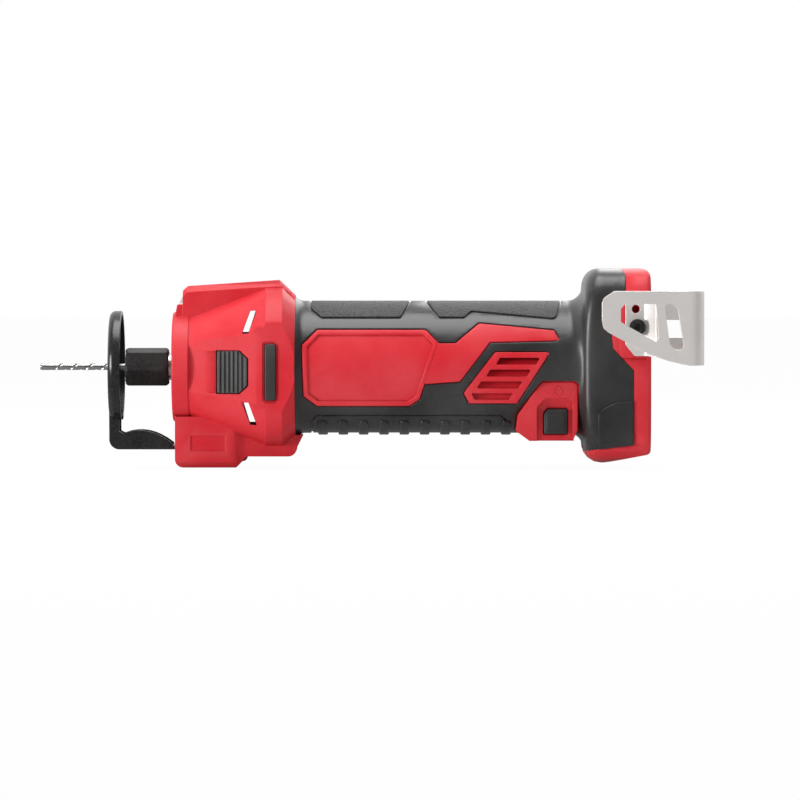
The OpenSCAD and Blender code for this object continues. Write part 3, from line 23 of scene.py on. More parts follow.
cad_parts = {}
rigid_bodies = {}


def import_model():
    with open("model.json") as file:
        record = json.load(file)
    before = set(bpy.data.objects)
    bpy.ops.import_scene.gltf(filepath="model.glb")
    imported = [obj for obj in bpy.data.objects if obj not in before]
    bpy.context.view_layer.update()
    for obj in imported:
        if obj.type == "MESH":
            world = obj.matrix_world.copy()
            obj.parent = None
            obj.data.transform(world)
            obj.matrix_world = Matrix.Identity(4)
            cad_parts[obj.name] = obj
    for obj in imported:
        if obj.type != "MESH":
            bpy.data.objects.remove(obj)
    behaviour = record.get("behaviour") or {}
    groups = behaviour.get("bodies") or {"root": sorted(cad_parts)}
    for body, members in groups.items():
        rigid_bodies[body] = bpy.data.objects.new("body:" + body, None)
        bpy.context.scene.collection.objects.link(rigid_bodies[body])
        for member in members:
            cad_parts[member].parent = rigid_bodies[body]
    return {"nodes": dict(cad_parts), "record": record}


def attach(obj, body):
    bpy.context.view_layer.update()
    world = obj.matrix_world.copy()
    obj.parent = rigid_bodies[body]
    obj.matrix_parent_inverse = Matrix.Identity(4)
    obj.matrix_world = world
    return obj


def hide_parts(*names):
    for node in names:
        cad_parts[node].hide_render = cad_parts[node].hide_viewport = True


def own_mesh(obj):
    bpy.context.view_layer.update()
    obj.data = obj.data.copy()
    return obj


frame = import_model()

MM = 0.001
LOG = logging.getLogger("cut_out_tool")
Piece = bpy.types.Object
Point = tuple[float, float]
Triple = tuple[float, float, float]
Outline = Sequence[Point]
Cut = tuple[Triple, Triple]


class Side(Enum):
    """Half of the tool: the left one faces the camera."""

    LEFT = -1
    RIGHT = 1


class Grain(Enum):
    """Surface of a moulded material."""

    SPARK = "spark"
    SMOOTH = "smooth"
    STIPPLE = "stipple"


class Lay(Enum):
    """Direction of the fine marks that a metal's making leaves."""

    TURNED = "turned"
    BRUSHED = "brushed"
    ROLLED = "rolled"


# Bench: selecting, editing and finishing a mesh


def pick(*pieces: Piece) -> None:
    """Selects only these objects and makes the first one active.

    Args:
        pieces: the objects.
    """
    for other in bpy.context.view_layer.objects:
        other.select_set(False)
    for one in pieces:
        one.select_set(True)
    bpy.context.view_layer.objects.active = pieces[0]


@contextlib.contextmanager
def editing(piece: Piece, every: bool = False) -> Iterator[bmesh.types.BMesh]:
    """Opens a piece in edit mode and closes it again.

    Args:
        piece: the mesh object to edit.
        every: whether all of it starts out selected.

    Returns:
        The piece's edit mesh, for choosing what an operator acts on.
    """
    pick(piece)
    bpy.ops.object.mode_set(mode="EDIT")
    if every:
        bpy.ops.mesh.select_all(action="SELECT")
    try:
        yield bmesh.from_edit_mesh(piece.data)
    finally:
        bpy.ops.object.mode_set(mode="OBJECT")


def use(piece: Piece, kind: str, **settings: object) -> None:
    """Adds a modifier with these settings and applies it.

    Args:
        piece: the mesh object.
        kind: Blender's name for the modifier.
        settings: values of its properties.
    """
    modifier = piece.modifiers.new(kind.lower(), kind)
    for name, value in settings.items():
        setattr(modifier, name, value)
    pick(piece)
    bpy.ops.object.modifier_apply(modifier=modifier.name)


def carve(piece: Piece, tool: Piece) -> None:
    """Cuts a tool body out of a piece, which uses the tool up."""
    use(piece, "BOOLEAN", operation="DIFFERENCE", object=tool, solver="EXACT")
    bpy.data.objects.remove(tool)


def trim(piece: Piece, y: float, way: int) -> None:
    """Cuts off what lies past a plane across Y, towards +Y (way 1) or -Y (way -1), and closes the cut."""
    with editing(piece, every=True):
        bpy.ops.mesh.bisect(plane_co=(0, y, 0), plane_no=(0, way, 0), clear_outer=True, use_fill=True)


def join(pieces: Sequence[Piece], name: str) -> Piece:
    """Joins objects into the first one.

    Args:
        pieces: the objects.
        name: the name of the result.

    Returns:
        The joined object.
    """
    pick(*pieces)
    if len(pieces) > 1:
        bpy.ops.object.join()
    pieces[0].name = name
    pieces[0].data.name = name
    return pieces[0]


def smooth(piece: Piece, degrees: float, flat: bool = False) -> None:
    """Shades a piece smooth.

    Args:
        piece: the mesh object.
        degrees: edges between faces at a larger angle stay sharp.
        flat: whether its large faces keep a flat look.
    """
    pick(piece)
    bpy.ops.object.shade_smooth_by_angle(angle=math.radians(degrees))
    if flat:
        use(piece, "WEIGHTED_NORMAL", weight=80, keep_sharp=True)


def settle(piece: Piece) -> Piece:
    """Turns a piece modelled in millimetres into metres, with its place in its mesh.

    Args:
        piece: the mesh object.

    Returns:
        The same object.
    """
    piece.data.transform(Matrix.Scale(MM, 4) @ piece.matrix_world)
    piece.matrix_world = Matrix.Identity(4)
    return piece


def dress(piece: Piece, *materials: bpy.types.Material) -> None:
    """Gives a piece its materials, the first one all over.

    Args:
        piece: the mesh object.
        materials: the materials.
    """
    piece.data.materials.clear()
    for material in materials:
        piece.data.materials.append(material)


def place(piece: Piece, body: str, node: str) -> None:
    """Hands a finished piece to the frame.

    Args:
        piece: the finished object, in metres.
        body: the CAD body that it moves with.
        node: the CAD node that it stands for.
    """
    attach(piece, body)
    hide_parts(node)
    LOG.info("%s: %d faces, for %s", piece.name, len(piece.data.polygons), node)


def cad_copy(node: str, name: str, merge: float = 0.002, even: float = 0.6) -> Piece:
    """Copies a CAD node to the bench, in millimetres, with its loose triangles merged.

    Args:
        node: the CAD node.
        name: the copy's name.
        merge: points closer than this become one.
        even: faces that meet at less than this angle become one, in degrees.

    Returns:
        The copy, a closed mesh with flat faces joined.
    """
    data = frame["nodes"][node].data.copy()
    data.name = name
    copy = bpy.data.objects.new(name, data)
    bpy.context.scene.collection.objects.link(copy)
    data.transform(Matrix.Scale(1/MM, 4))
    pick(copy)
    bpy.ops.mesh.customdata_custom_splitnormals_clear()
    with editing(copy, every=True):
        bpy.ops.mesh.remove_doubles(threshold=merge)
        bpy.ops.mesh.dissolve_limited(angle_limit=math.radians(even))
    return copy


# Outlines in the side view


def boxed(shares: Outline, x: float, z: float, length: float, height: float) -> Outline:
    """Turns shares of a box into an outline."""
    return tuple((x + a*length, z + b*height) for a, b in shares)


def oblong(x: float, z: float, far_x: float, far_z: float) -> Outline:
    """Outline of a box between two corners."""
    return (x, z), (far_x, z), (far_x, far_z), (x, far_z)


def grown(points: Outline, by: float) -> Outline:
    """Moves an outline's sides outwards.

    Args:
        points: the outline's corners.
        by: how far, negative for inwards.

    Returns:
        The moved outline.
    """
    blunt = 0.3
    ring = [Vector(p) for p in points]
    area = sum(a.x*b.y - b.x*a.y for a, b in zip(ring, ring[1:] + ring[:1]))
    turn = 1.0 if area > 0 else -1.0
    moved = []
    for before, here, after in zip(ring[-1:] + ring[:-1], ring, ring[1:] + ring[:1]):
        u, v = (here - before).normalized(), (after - here).normalized()
        n, m = Vector((u.y, -u.x))*turn, Vector((v.y, -v.x))*turn
        reach = by/max(blunt, 1 + n.dot(m))
        moved.append(tuple(here + (n + m)*reach))
    return moved


def rounded(points: Outline, radius: float) -> Outline:
    """Rounds an outline's corners.

    Args:
        points: the outline's corners.
        radius: of each corner, less where its sides are short.

    Returns:
        The rounded outline.
    """
    steps, most, straight = 4, 0.45, 3.1
    ring = [Vector(p) for p in points]
    curve = []
    for before, here, after in zip(ring[-1:] + ring[:-1], ring, ring[1:] + ring[:1]):
        u, v = before - here, after - here
        angle = u.angle(v, math.pi)
        reach = min(radius/math.tan(angle/2), most*u.length, most*v.length) if angle < straight else 0.0
        start, end = here + u.normalized()*reach, here + v.normalized()*reach
        for i in range(steps + 1):
            t = i/steps
            curve.append(tuple(start*(1 - t)**2 + here*(2*t*(1 - t)) + end*t**2))
    return curve


def sampled(points: Outline, pitch: float) -> Outline:
    """Adds points along an outline's sides.

    Args:
        points: the outline's corners.
        pitch: the longest step that is left.

    Returns:
        The outline with more points.
    """
    path = []
    for a, b in zip(points, [*points[1:], points[0]]):
        count = max(1, math.ceil(math.dist(a, b)/pitch))
        path += [(a[0] + (b[0] - a[0])*i/count, a[1] + (b[1] - a[1])*i/count) for i in range(count)]
    return path


def circle(middle: Point, radius: float, count: int = 32) -> Outline:
    """Round outline about a middle."""
    turns = [2*math.pi*i/count for i in range(count)]
    return [(middle[0] + radius*math.cos(a), middle[1] + radius*math.sin(a)) for a in turns]


def within(spots: np.ndarray, outline: Outline) -> np.ndarray:
    """Tells which places lie inside an outline.

    Args:
        spots: rows of two numbers.
        outline: the outline's corners.

    Returns:
        True or False for each place.
    """
    ring = np.array(outline)
    after = np.roll(ring, -1, axis=0)
    x, y = spots[:, :1], spots[:, 1:2]
    spans = (ring[:, 1] > y) != (after[:, 1] > y)
    rise = np.where(after[:, 1] == ring[:, 1], 1.0, after[:, 1] - ring[:, 1])
    cross = ring[:, 0] + (y - ring[:, 1])/rise*(after[:, 0] - ring[:, 0])
    return (np.sum(spans & (x < cross), axis=1) % 2).astype(bool)


# Forms: the surfaces that flat panels are laid on


def unit(rows: np.ndarray) -> np.ndarray:
    """Rows scaled to length 1."""
    return rows/np.maximum(np.linalg.norm(rows, axis=1), 1e-9)[:, None]


def planes(spots: Iterable[float], axis: int, low: np.ndarray, high: np.ndarray, margin: float) -> list[Cut]:
    """Planes across one axis of a flat panel.

    Args:
        spots: their places on the axis.
        axis: 0 or 1.
        low: the panel's lowest corner.
        high: the panel's highest corner.
        margin: how near to the panel's ends none is wanted.

    Returns:
        A point and a normal for each plane inside the panel.
    """
    inside = [s for s in spots if low[axis] + margin < s < high[axis] - margin]
    return [((0, s, 0), (0, 1, 0)) if axis else ((s, 0, 0), (1, 0, 0)) for s in inside]


class Form(Protocol):
    """A surface that takes flat places with heights."""

    def wrap(self, flat: np.ndarray, side: Side) -> np.ndarray:
        """Moves rows of two ways and a height to X, Y and Z, in millimetres."""

    def cuts(self, low: np.ndarray, high: np.ndarray) -> list[Cut]:
        """Planes that cut a flat panel where the surface bends, as points and normals."""


@dataclass
class GripForm:
    """Round grip that flares to a rounded rectangular foot.

    A place on it is a pair: the way along a meridian from the grip's front, and the way round from the
    side (0) to the top (+quarter) or the bottom (-quarter).
    """

    grip_x: float = 91.0
    grip_r: float = 32.4
    foot_x: float = 231.5
    rear_x: float = 263.6
    foot_w: float = 76.0
    foot_top: float = 48.3
    foot_drop: float = 46.5
    foot_lift: float = 4.8
    slope_x: float = 240.1
    foot_round: float = 4.5
    flare_share: float = 0.48
    foot_power: float = 5.0
    collar_rise: float = 1.9
    collar_l: float = 4.4
    collar_pitch: float = 1.1
    strip_w: float = 2.4
    rings_x: Point = (223.5, 290.0)
    rings_pitch: float = 1.3
    cut_margin: float = 0.2
    outline_pitch: float = 1.2
    close: float = 0.02
    edge: float = 0.01
    lean: float = 0.25
    arc_steps: int = 24
    share_steps: int = 40
    half_steps: int = 80
    fine_steps: int = 600
    quarter: float = field(init=False)
    end: float = field(init=False)

    def __post_init__(self) -> None:
        """Works out the tables of the meridian and the sections."""
        self.quarter = self.grip_r*math.pi/2
        rise, share = self.foot_top - self.grip_r, self.flare_share
        hollow, crown = rise*share, rise*(1 - share)
        turns = [math.pi/2*i/self.arc_steps for i in range(1, self.arc_steps + 1)]
        self._x = np.array([self.grip_x, self.foot_x - hollow]
                           + [self.foot_x - hollow*(1 - math.sin(a)) for a in turns]
                           + [self.foot_x + crown*(1 - math.cos(a)) for a in turns] + [self.rear_x])
        self._f = np.array([0.0, 0.0] + [share*(1 - math.cos(a)) for a in turns]
                           + [share + (1 - share)*math.sin(a) for a in turns] + [1.0])
        steps = np.hypot(np.diff(self._x), np.diff(self._f)*rise)
        self._m = self.grip_x + np.concatenate([[0.0], np.cumsum(steps)])
        self.end = float(self._m[-1])
        self._ways = np.linspace(-1, 1, 2*self.half_steps + 1)
        self._table = np.array([self._section(f) for f in np.linspace(0, 1, self.share_steps + 1)])

    def _section(self, f: float) -> np.ndarray:
        """Half section of the grip.

        Args:
            f: share of the flare.

        Returns:
            Places evenly spaced by length, from bottom to top.
        """
        n = 2/(2 + (self.foot_power - 2)*f)
        side = self.grip_r + (self.foot_w/2 - self.grip_r)*f
        rows = []
        for sign, far in ((-1, self.foot_drop), (1, self.foot_top)):
            high = self.grip_r + (far - self.grip_r)*f
            a = math.pi/2*np.linspace(0, 1, self.fine_steps)**3
            y, z = side*np.cos(a)**n, high*np.sin(a)**n
            way = np.concatenate([[0.0], np.cumsum(np.hypot(np.diff(y), np.diff(z)))])
            way /= way[-1]
            at = np.linspace(0, 1, self.half_steps + 1)
            half = np.stack([np.interp(at, way, y), sign*np.interp(at, way, z)], axis=1)
            rows.append(half[::-1] if sign < 0 else half[1:])
        return np.concatenate(rows)

    def flat(self, points: Outline) -> Outline:
        """Lays an outline of the side view out flat.

        Args:
            points: the outline, as X and Z.

        Returns:
            The outline as meridian and girth ways.
        """
        laid = []
        for x, z in sampled(points, self.outline_pitch):
            f = float(np.interp(x, self._x, self._f))
            row = self._blend(np.array([f]))[0]
            way = self.quarter*float(np.interp(z, row[:, 1], self._ways))
            way += max(0.0, z - row[-1, 1]) + min(0.0, z - row[0, 1])
            spot = (float(np.interp(x, self._x, self._m)) + max(0.0, x - self.rear_x), way)
            if not laid or math.dist(laid[-1], spot) > self.close:
                laid.append(spot)
        return laid

    def _blend(self, f: np.ndarray) -> np.ndarray:
        """Sections between those of the table.

        Args:
            f: shares of the flare.

        Returns:
            One section for each share.
        """
        spot = np.clip(f, 0, 1)*self.share_steps
        low = np.minimum(spot.astype(int), self.share_steps - 1)
        t = (spot - low)[:, None, None]
        return self._table[low]*(1 - t) + self._table[low + 1]*t

    def surface(self, m: np.ndarray, u: np.ndarray) -> np.ndarray:
        """Points of a half's surface, with y positive outwards.

        Args:
            m: meridian ways.
            u: girth ways.

        Returns:
            One row of x, y, z for each place.
        """
        x = np.interp(m, self._m, self._x)
        f = np.interp(m, self._m, self._f)
        rows = self._blend(f)
        spot = (np.clip(u/self.quarter, -1, 1) + 1)/2*(len(self._ways) - 1)
        low = np.minimum(spot.astype(int), len(self._ways) - 2)
        t = (spot - low)[:, None]
        count = np.arange(len(x))
        yz = rows[count, low]*(1 - t) + rows[count, low + 1]*t
        near = np.clip(1 - (x - self.grip_x)/self.collar_l, 0, 1)
        yz = yz*(1 + self.collar_rise/self.grip_r*near*near)[:, None]
        slope = self.foot_lift/(self.rear_x - self.slope_x)
        floor = -self.foot_drop + slope*np.clip(x - self.slope_x, 0, None)
        past = np.clip((x - self.rear_x + self.foot_round)/self.foot_round, 0, 1)
        roof = self.foot_top - self.foot_round*(1 - np.sqrt(1 - past*past))
        return np.stack([x, yz[:, 0], np.clip(yz[:, 1], floor, roof)], axis=1)

    def wrap(self, flat: np.ndarray, side: Side) -> np.ndarray:
        """Wraps flat places with heights onto the grip.

        Args:
            flat: rows of meridian way, girth way and height.
            side: the half to wrap onto.

        Returns:
            Rows of x, y, z in millimetres.
        """
        m, u, h = flat.T
        d, lim = self.lean, self.quarter
        along = (self.surface(np.clip(m + d, None, self.end), u)
                 - self.surface(np.clip(m - d, self.grip_x, None), u))
        around = self.surface(m, np.clip(u + d, None, lim)) - self.surface(m, np.clip(u - d, -lim, None))
        out = unit(-np.cross(along, around))
        out[np.abs(u) > lim - self.edge, 1] = 0.0
        out = unit(out)
        out[(m < self.grip_x + self.edge) | (m > self.end - self.edge), 0] = 0.0
        points = self.surface(m, u) + unit(out)*h[:, None]
        points[:, 1] = np.maximum(points[:, 1], 0.0)*side.value
        return points

    def cuts(self, low: np.ndarray, high: np.ndarray) -> list[Cut]:
        """Strips round the girth, and rings at the collar and where the grip flares.

        Args:
            low: the flat panel's lowest corner.
            high: its highest corner.

        Returns:
            Points and normals of planes.
        """
        collar = np.arange(self.grip_x, self.grip_x + self.collar_l + 1, self.collar_pitch)
        rings = np.concatenate([collar, np.arange(*self.rings_x, self.rings_pitch)])
        strips = np.arange(-self.quarter, self.quarter, self.strip_w)
        return (planes(strips, 1, low, high, self.cut_margin)
                + planes(rings, 0, low, high, self.cut_margin))


@dataclass
class Louvre:
    """The grip's surface, sunk more and more from a line upwards.

    Attributes:
        line: way round the girth where it starts to sink.
        slope: how far it sinks for each millimetre of girth.
    """

    line: float
    slope: float = 0.95

    def wrap(self, flat: np.ndarray, side: Side) -> np.ndarray:
        """Wraps flat places with heights, sunk by their girth."""
        return FORM.wrap(flat - np.outer(flat[:, 1] - self.line, (0.0, 0.0, self.slope)), side)

    def cuts(self, low: np.ndarray, high: np.ndarray) -> list[Cut]:
        """Strips and rings, as on the grip."""
        return FORM.cuts(low, high)


@dataclass(frozen=True)
class LeaningFace:
    """A nearly flat side of the tool, at a distance from its middle that changes along X and up Z.

    Attributes:
        along: pairs of X and distance.
        up: pairs of Z and what is added there.
        crease: places of the cuts about each change of lean.
        cut_margin: how near to a panel's ends no cut is made.
    """

    along: Outline
    up: Outline = ((0.0, 0.0),)
    crease: Triple = (-0.5, 0.0, 0.5)
    cut_margin: float = 0.05

    def wrap(self, flat: np.ndarray, side: Side) -> np.ndarray:
        """Stands flat places with heights on the face.

        Args:
            flat: rows of X, Z and height.
            side: the half of the tool.

        Returns:
            Rows of x, y, z in millimetres.
        """
        x, z, h = flat.T
        y = np.interp(x, *zip(*self.along)) + np.interp(z, *zip(*self.up)) + h
        return np.stack([x, y*side.value, z], axis=1)

    def cuts(self, low: np.ndarray, high: np.ndarray) -> list[Cut]:
        """Creases where the face changes its lean, each between two close lines.

        Args:
            low: the flat panel's lowest corner.
            high: its highest corner.

        Returns:
            Points and normals of planes.
        """
        found = []
        for axis, pairs in enumerate((self.along, self.up)):
            spots = [spot + d for spot, _ in pairs for d in self.crease]
            found += planes(spots, axis, low, high, self.cut_margin)
        return found


def level(y: float) -> LeaningFace:
    """Upright flat face at a distance from the tool's middle."""
    return LeaningFace(((0.0, y),))


@dataclass
class BentStrip:
    """Middle of a bent sheet in the plan view: straight runs and bends from its outer tip to its inner end.

    Attributes:
        start: X and Y of the tip.
        runs: pairs of a run's length and its turn in degrees.
        bend_steps: parts of a bend in the table.
        fine_steps: rows of the table.
        facet: turn between two cuts in a bend, in degrees.
    """

    start: Point
    runs: Outline
    bend_steps: int = 40
    fine_steps: int = 4000
    facet: float = 9.0

    def __post_init__(self) -> None:
        """Works out the table of the strip's middle."""
        ways, turns = [0.0], [0.0]
        for length, turn in self.runs:
            steps = self.bend_steps if turn else 1
            for _ in range(steps):
                ways.append(ways[-1] + length/steps)
                turns.append(turns[-1] + math.radians(turn)/steps)
        self._way = np.linspace(0, ways[-1], self.fine_steps)
        self._head = np.interp(self._way, ways, turns)
        step = np.diff(self._way, prepend=0.0)
        self._x = self.start[0] + np.cumsum(np.cos(self._head)*step)
        self._y = self.start[1] + np.cumsum(np.sin(self._head)*step)

    def outer(self, x: float) -> float:
        """Way along the strip to a place on its outer leg."""
        return x - self.start[0]

    def inner(self, x: float) -> float:
        """Way along the strip to a place on its inner leg."""
        back = int(np.argmax(self._x))
        return float(np.interp(-x, -self._x[back:], self._way[back:]))

    def wrap(self, flat: np.ndarray, side: Side) -> np.ndarray:
        """Bends flat places with heights along the strip.

        Args:
            flat: rows of way, Z and height.
            side: the half of the tool.

        Returns:
            Rows of x, y, z in millimetres.
        """
        way, z, h = flat.T
        head = np.interp(way, self._way, self._head)
        x = np.interp(way, self._way, self._x) + np.sin(head)*h
        y = np.interp(way, self._way, self._y) - np.cos(head)*h
        return np.stack([x, -y*side.value, z], axis=1)

    def cuts(self, low: np.ndarray, high: np.ndarray) -> list[Cut]:
        """Lines across the strip in its bends.

        Args:
            low: the flat panel's lowest corner, not needed here.
            high: its highest corner, not needed here.

        Returns:
            Points and normals of planes.
        """
        found, way = [], 0.0
        for length, turn in self.runs:
            if turn:
                count = max(4, round(abs(turn)/self.facet))
                found += [((way + length*i/count, 0, 0), (1, 0, 0)) for i in range(count + 1)]
            way += length
        return found


FORM = GripForm()


@dataclass(frozen=True)
class Relief:
    """Heights of a panel over its form.

    Attributes:
        root: height of its hidden base, negative under the form's surface.
        top: height of its face.
        soft: radius of its face's edge.
        under: radius of its edge underneath.
    """

    root: float
    top: float
    soft: float
    under: float = 0.0


@dataclass
class Panel:
    """A panel: laid out flat, given height and round edges, and wrapped onto its form.

    Attributes:
        name: what it is.
        inside: flat outlines that it lies within, all of them.
        outside: flat outlines that it stays out of.
        relief: its heights.
        form: the surface that it lies on.
    """

    name: str
    inside: list[Outline]
    outside: list[Outline]
    relief: Relief
    form: Form = field(default_factory=lambda: FORM)

    def build(self, side: Side) -> Piece:
        """Makes the panel on one half of the tool.

        Args:
            side: the half.

        Returns:
            The panel's object, in millimetres.
        """
        piece, r = self._sheet(), self.relief
        with editing(piece, every=True):
            height = r.top - r.soft - r.root - r.under
            bpy.ops.mesh.extrude_region_move(TRANSFORM_OT_translate={"value": (0, 0, height)})
            self._round(r.soft)
        if r.under:
            with editing(piece) as mesh:
                bpy.ops.mesh.select_mode(type="FACE")
                for face in mesh.faces:
                    face.select_set(face.normal.z < -0.9)
                self._round(r.under)
        self._slice(piece)
        self._wrap(piece, side)
        return piece

    def _sheet(self) -> Piece:
        """Flat sheet inside and outside the outlines.

        Returns:
            The sheet's object, in triangles that face up.
        """
        spots: list[Vector] = []
        sides: list[tuple[int, int]] = []
        for outline in self.inside + self.outside:
            first, count = len(spots), len(outline)
            sides += [(first + i, first + (i + 1) % count) for i in range(count)]
            spots += [Vector(p) for p in outline]
        verts, _, faces, _, _, _ = delaunay_2d_cdt(spots, sides, [], 0, 1e-4)
        middles = np.array([np.mean([verts[i][:] for i in face], axis=0) for face in faces])
        wanted = np.ones(len(faces), dtype=bool)
        for outline in self.inside:
            wanted &= within(middles, outline)
        for outline in self.outside:
            wanted &= ~within(middles, outline)
        kept = [face for face, want in zip(faces, wanted) if want]
        data = bpy.data.meshes.new(self.name)
        data.from_pydata([(v.x, v.y, self.relief.root + self.relief.under) for v in verts], [], kept)
        piece = bpy.data.objects.new(self.name, data)
        bpy.context.scene.collection.objects.link(piece)
        with editing(piece, every=True):
            bpy.ops.mesh.delete_loose()
            bpy.ops.mesh.select_all(action="SELECT")
            bpy.ops.mesh.normals_make_consistent(inside=False)
        if sum(p.normal.z*p.area for p in data.polygons) < 0:
            data.flip_normals()
        return piece

    def _round(self, radius: float) -> None:
        """Rounds the selected region's edge in three insets.

        Args:
            radius: of the edge.
        """
        for start in (0, 30, 60):
            a, b = math.radians(start), math.radians(start + 30)
            bpy.ops.mesh.inset(thickness=radius*(math.cos(a) - math.cos(b)),
                               depth=radius*(math.sin(b) - math.sin(a)), use_boundary=True,
                               use_even_offset=False)

    def _slice(self, piece: Piece) -> None:
        """Cuts the flat panel into strips that can follow its form.

        Args:
            piece: the flat panel.
        """
        spots = np.array([v.co for v in piece.data.vertices])
        with editing(piece):
            for spot, normal in self.form.cuts(spots.min(0), spots.max(0)):
                bpy.ops.mesh.select_all(action="SELECT")
                bpy.ops.mesh.bisect(plane_co=spot, plane_no=normal)

    def _wrap(self, piece: Piece, side: Side) -> None:
        """Moves the flat panel's points onto its form.

        Args:
            piece: the flat panel.
            side: the half of the tool.
        """
        flat = np.empty(len(piece.data.vertices)*3)
        piece.data.vertices.foreach_get("co", flat)
        piece.data.vertices.foreach_set("co", self.form.wrap(flat.reshape(-1, 3), side).ravel())
        piece.data.update()
        with editing(piece, every=True):
            bpy.ops.mesh.remove_doubles(threshold=0.004)
            bpy.ops.mesh.normals_make_consistent(inside=False)


# Finishes


class Signal:
    """A value in a node tree, worked on with Python's operators."""

    def __init__(self, nodes: Nodes, socket: bpy.types.NodeSocket) -> None:
        """Keeps the socket and the tree that it belongs to."""
        self.nodes = nodes
        self.socket = socket

    def _math(self, operation: str, first: object, second: object) -> Signal:
        """Adds a Math node."""
        return self.nodes.add("ShaderNodeMath", {"operation": operation}, {0: first, 1: second})

    def __add__(self, other: object) -> Signal:
        """Sum."""
        return self._math("ADD", self, other)

    __radd__ = __add__

    def __sub__(self, other: object) -> Signal:
        """Difference."""
        return self._math("SUBTRACT", self, other)

    def __rsub__(self, other: object) -> Signal:
        """Difference, the other way round."""
        return self._math("SUBTRACT", other, self)

    def __mul__(self, other: object) -> Signal:
        """Product."""
        return self._math("MULTIPLY", self, other)

    def most(self, other: object) -> Signal:
        """The larger of two values."""
        return self._math("MAXIMUM", self, other)

    def between(self, low: float, high: float) -> Signal:
        """Smooth step from 0 at low to 1 at high."""
        return self.nodes.add("ShaderNodeMapRange", {"interpolation_type": "SMOOTHSTEP"},
                              {"Value": self, "From Min": low, "From Max": high})

    def blend(self, low: object, high: object) -> Signal:
        """Value that goes from low at 0 to high at 1."""
        return self.nodes.add("ShaderNodeMapRange", {}, {"Value": self, "To Min": low, "To Max": high})


class Nodes:
    """A node tree that signals are added to."""

    def __init__(self, tree: bpy.types.NodeTree) -> None:
        """Keeps the tree."""
        self.tree = tree

    def find(self, kind: str) -> bpy.types.Node:
        """The tree's own node of a type."""
        return next(n for n in self.tree.nodes if n.type == kind)

    def add(self, kind: str, settings: dict[str, object], inputs: dict[object, object],
            output: str | int = 0) -> Signal:
        """Adds a node.

        Args:
            kind: the node's type.
            settings: its properties, set first.
            inputs: values or links of its sockets, by name or number.
            output: the output that is handed on.

        Returns:
            The output as a signal.
        """
        node = self.tree.nodes.new(kind)
        for name, value in settings.items():
            setattr(node, name, value)
        for key, value in inputs.items():
            self.feed(node.inputs[key], value)
        return Signal(self, node.outputs[output])

    def feed(self, socket: bpy.types.NodeSocket, value: object) -> None:
        """Sets a socket's value or links a signal to it.

        Args:
            socket: the socket.
            value: a signal, a number or a row of numbers, three of them for a colour.
        """
        if isinstance(value, Signal):
            self.tree.links.new(value.socket, socket)
        else:
            socket.default_value = (*value, 1.0) if socket.type == "RGBA" else value

    def ray(self, kind: str) -> Signal:
        """1 for rays of a kind, 0 for the others."""
        return self.add("ShaderNodeLightPath", {}, {}, f"Is {kind} Ray")

    def seen(self) -> Signal:
        """1 for camera, glossy and transmission rays, 0 for the rays that light the tool."""
        return self.ray("Camera").most(self.ray("Glossy")).most(self.ray("Transmission"))


class Recipe(Nodes):
    """The node tree of one material, with a Principled shader at its end."""

    # Pointiness range over which convex edges get a painted edge highlight.
    EDGE_HIGHLIGHT_POINTINESS = (0.54, 0.7)

    def __init__(self, name: str) -> None:
        """Starts a material.

        Args:
            name: the material's name.
        """
        self.material = bpy.data.materials.new(name)
        self.material.use_nodes = True
        super().__init__(self.material.node_tree)
        self.shader = self.find("BSDF_PRINCIPLED")
        self.coords = self.add("ShaderNodeTexCoord", {}, {}, "Object")

    def set(self, **values: object) -> None:
        """Sets the shader's sockets, with underscores for spaces in their names."""
        for name, value in values.items():
            self.feed(self.shader.inputs[name.replace("_", " ")], value)

    def noise(self, scale: float, detail: float = 3.0, stretch: Triple = (1, 1, 1)) -> Signal:
        """Noise on the object, with marks of about 1/scale metres.

        Args:
            scale: how fine it is.
            detail: how many finer layers it has.
            stretch: how much finer it is along X, Y and Z.

        Returns:
            The noise.
        """
        way = self.coords
        if stretch != (1, 1, 1):
            way = self.add("ShaderNodeMapping", {}, {"Vector": self.coords, "Scale": stretch})
        return self.add("ShaderNodeTexNoise", {}, {"Vector": way, "Scale": scale, "Detail": detail}, "Fac")

    def waves(self, way: str, scale: float, distortion: float = 0.0) -> Signal:
        """Bands across X or Y of the object."""
        return self.add("ShaderNodeTexWave", {"bands_direction": way},
                        {"Vector": self.coords, "Scale": scale, "Distortion": distortion})

    def cells(self, scale: float) -> Signal:
        """Distance to the nearest of a field of scattered dots."""
        return self.add("ShaderNodeTexVoronoi", {}, {"Vector": self.coords, "Scale": scale}, "Distance")

    def edges(self) -> Signal:
        """1 along outer edges, where a lighter colour is painted as an edge highlight, and 0 elsewhere."""
        return self.add("ShaderNodeNewGeometry", {}, {}, "Pointiness").between(*self.EDGE_HIGHLIGHT_POINTINESS)

    def tint(self, share: Signal, low: Signal | Triple, high: Triple) -> Signal:
        """Colour that goes from low at a share of 0 to high at 1."""
        return self.add("ShaderNodeMix", {"data_type": "RGBA"}, {0: share, 6: low, 7: high}, 2)

    def bump(self, height: Signal, depth: float) -> Signal:
        """Normal of a surface with a relief that is depth metres high at height 1."""
        return self.add("ShaderNodeBump", {}, {"Height": height, "Distance": depth, "Strength": 1.0})


def lightened(colour: Triple, by: float) -> Triple:
    """Colour moved towards white (by above 0) or towards black (below 0)."""
    goal = 1.0 if by > 0 else 0.0
    return tuple(c + (goal - c)*abs(by) for c in colour)


class Finish(Protocol):
    """A surface that a material is made for."""

    def make(self) -> bpy.types.Material:
        """Builds the material."""


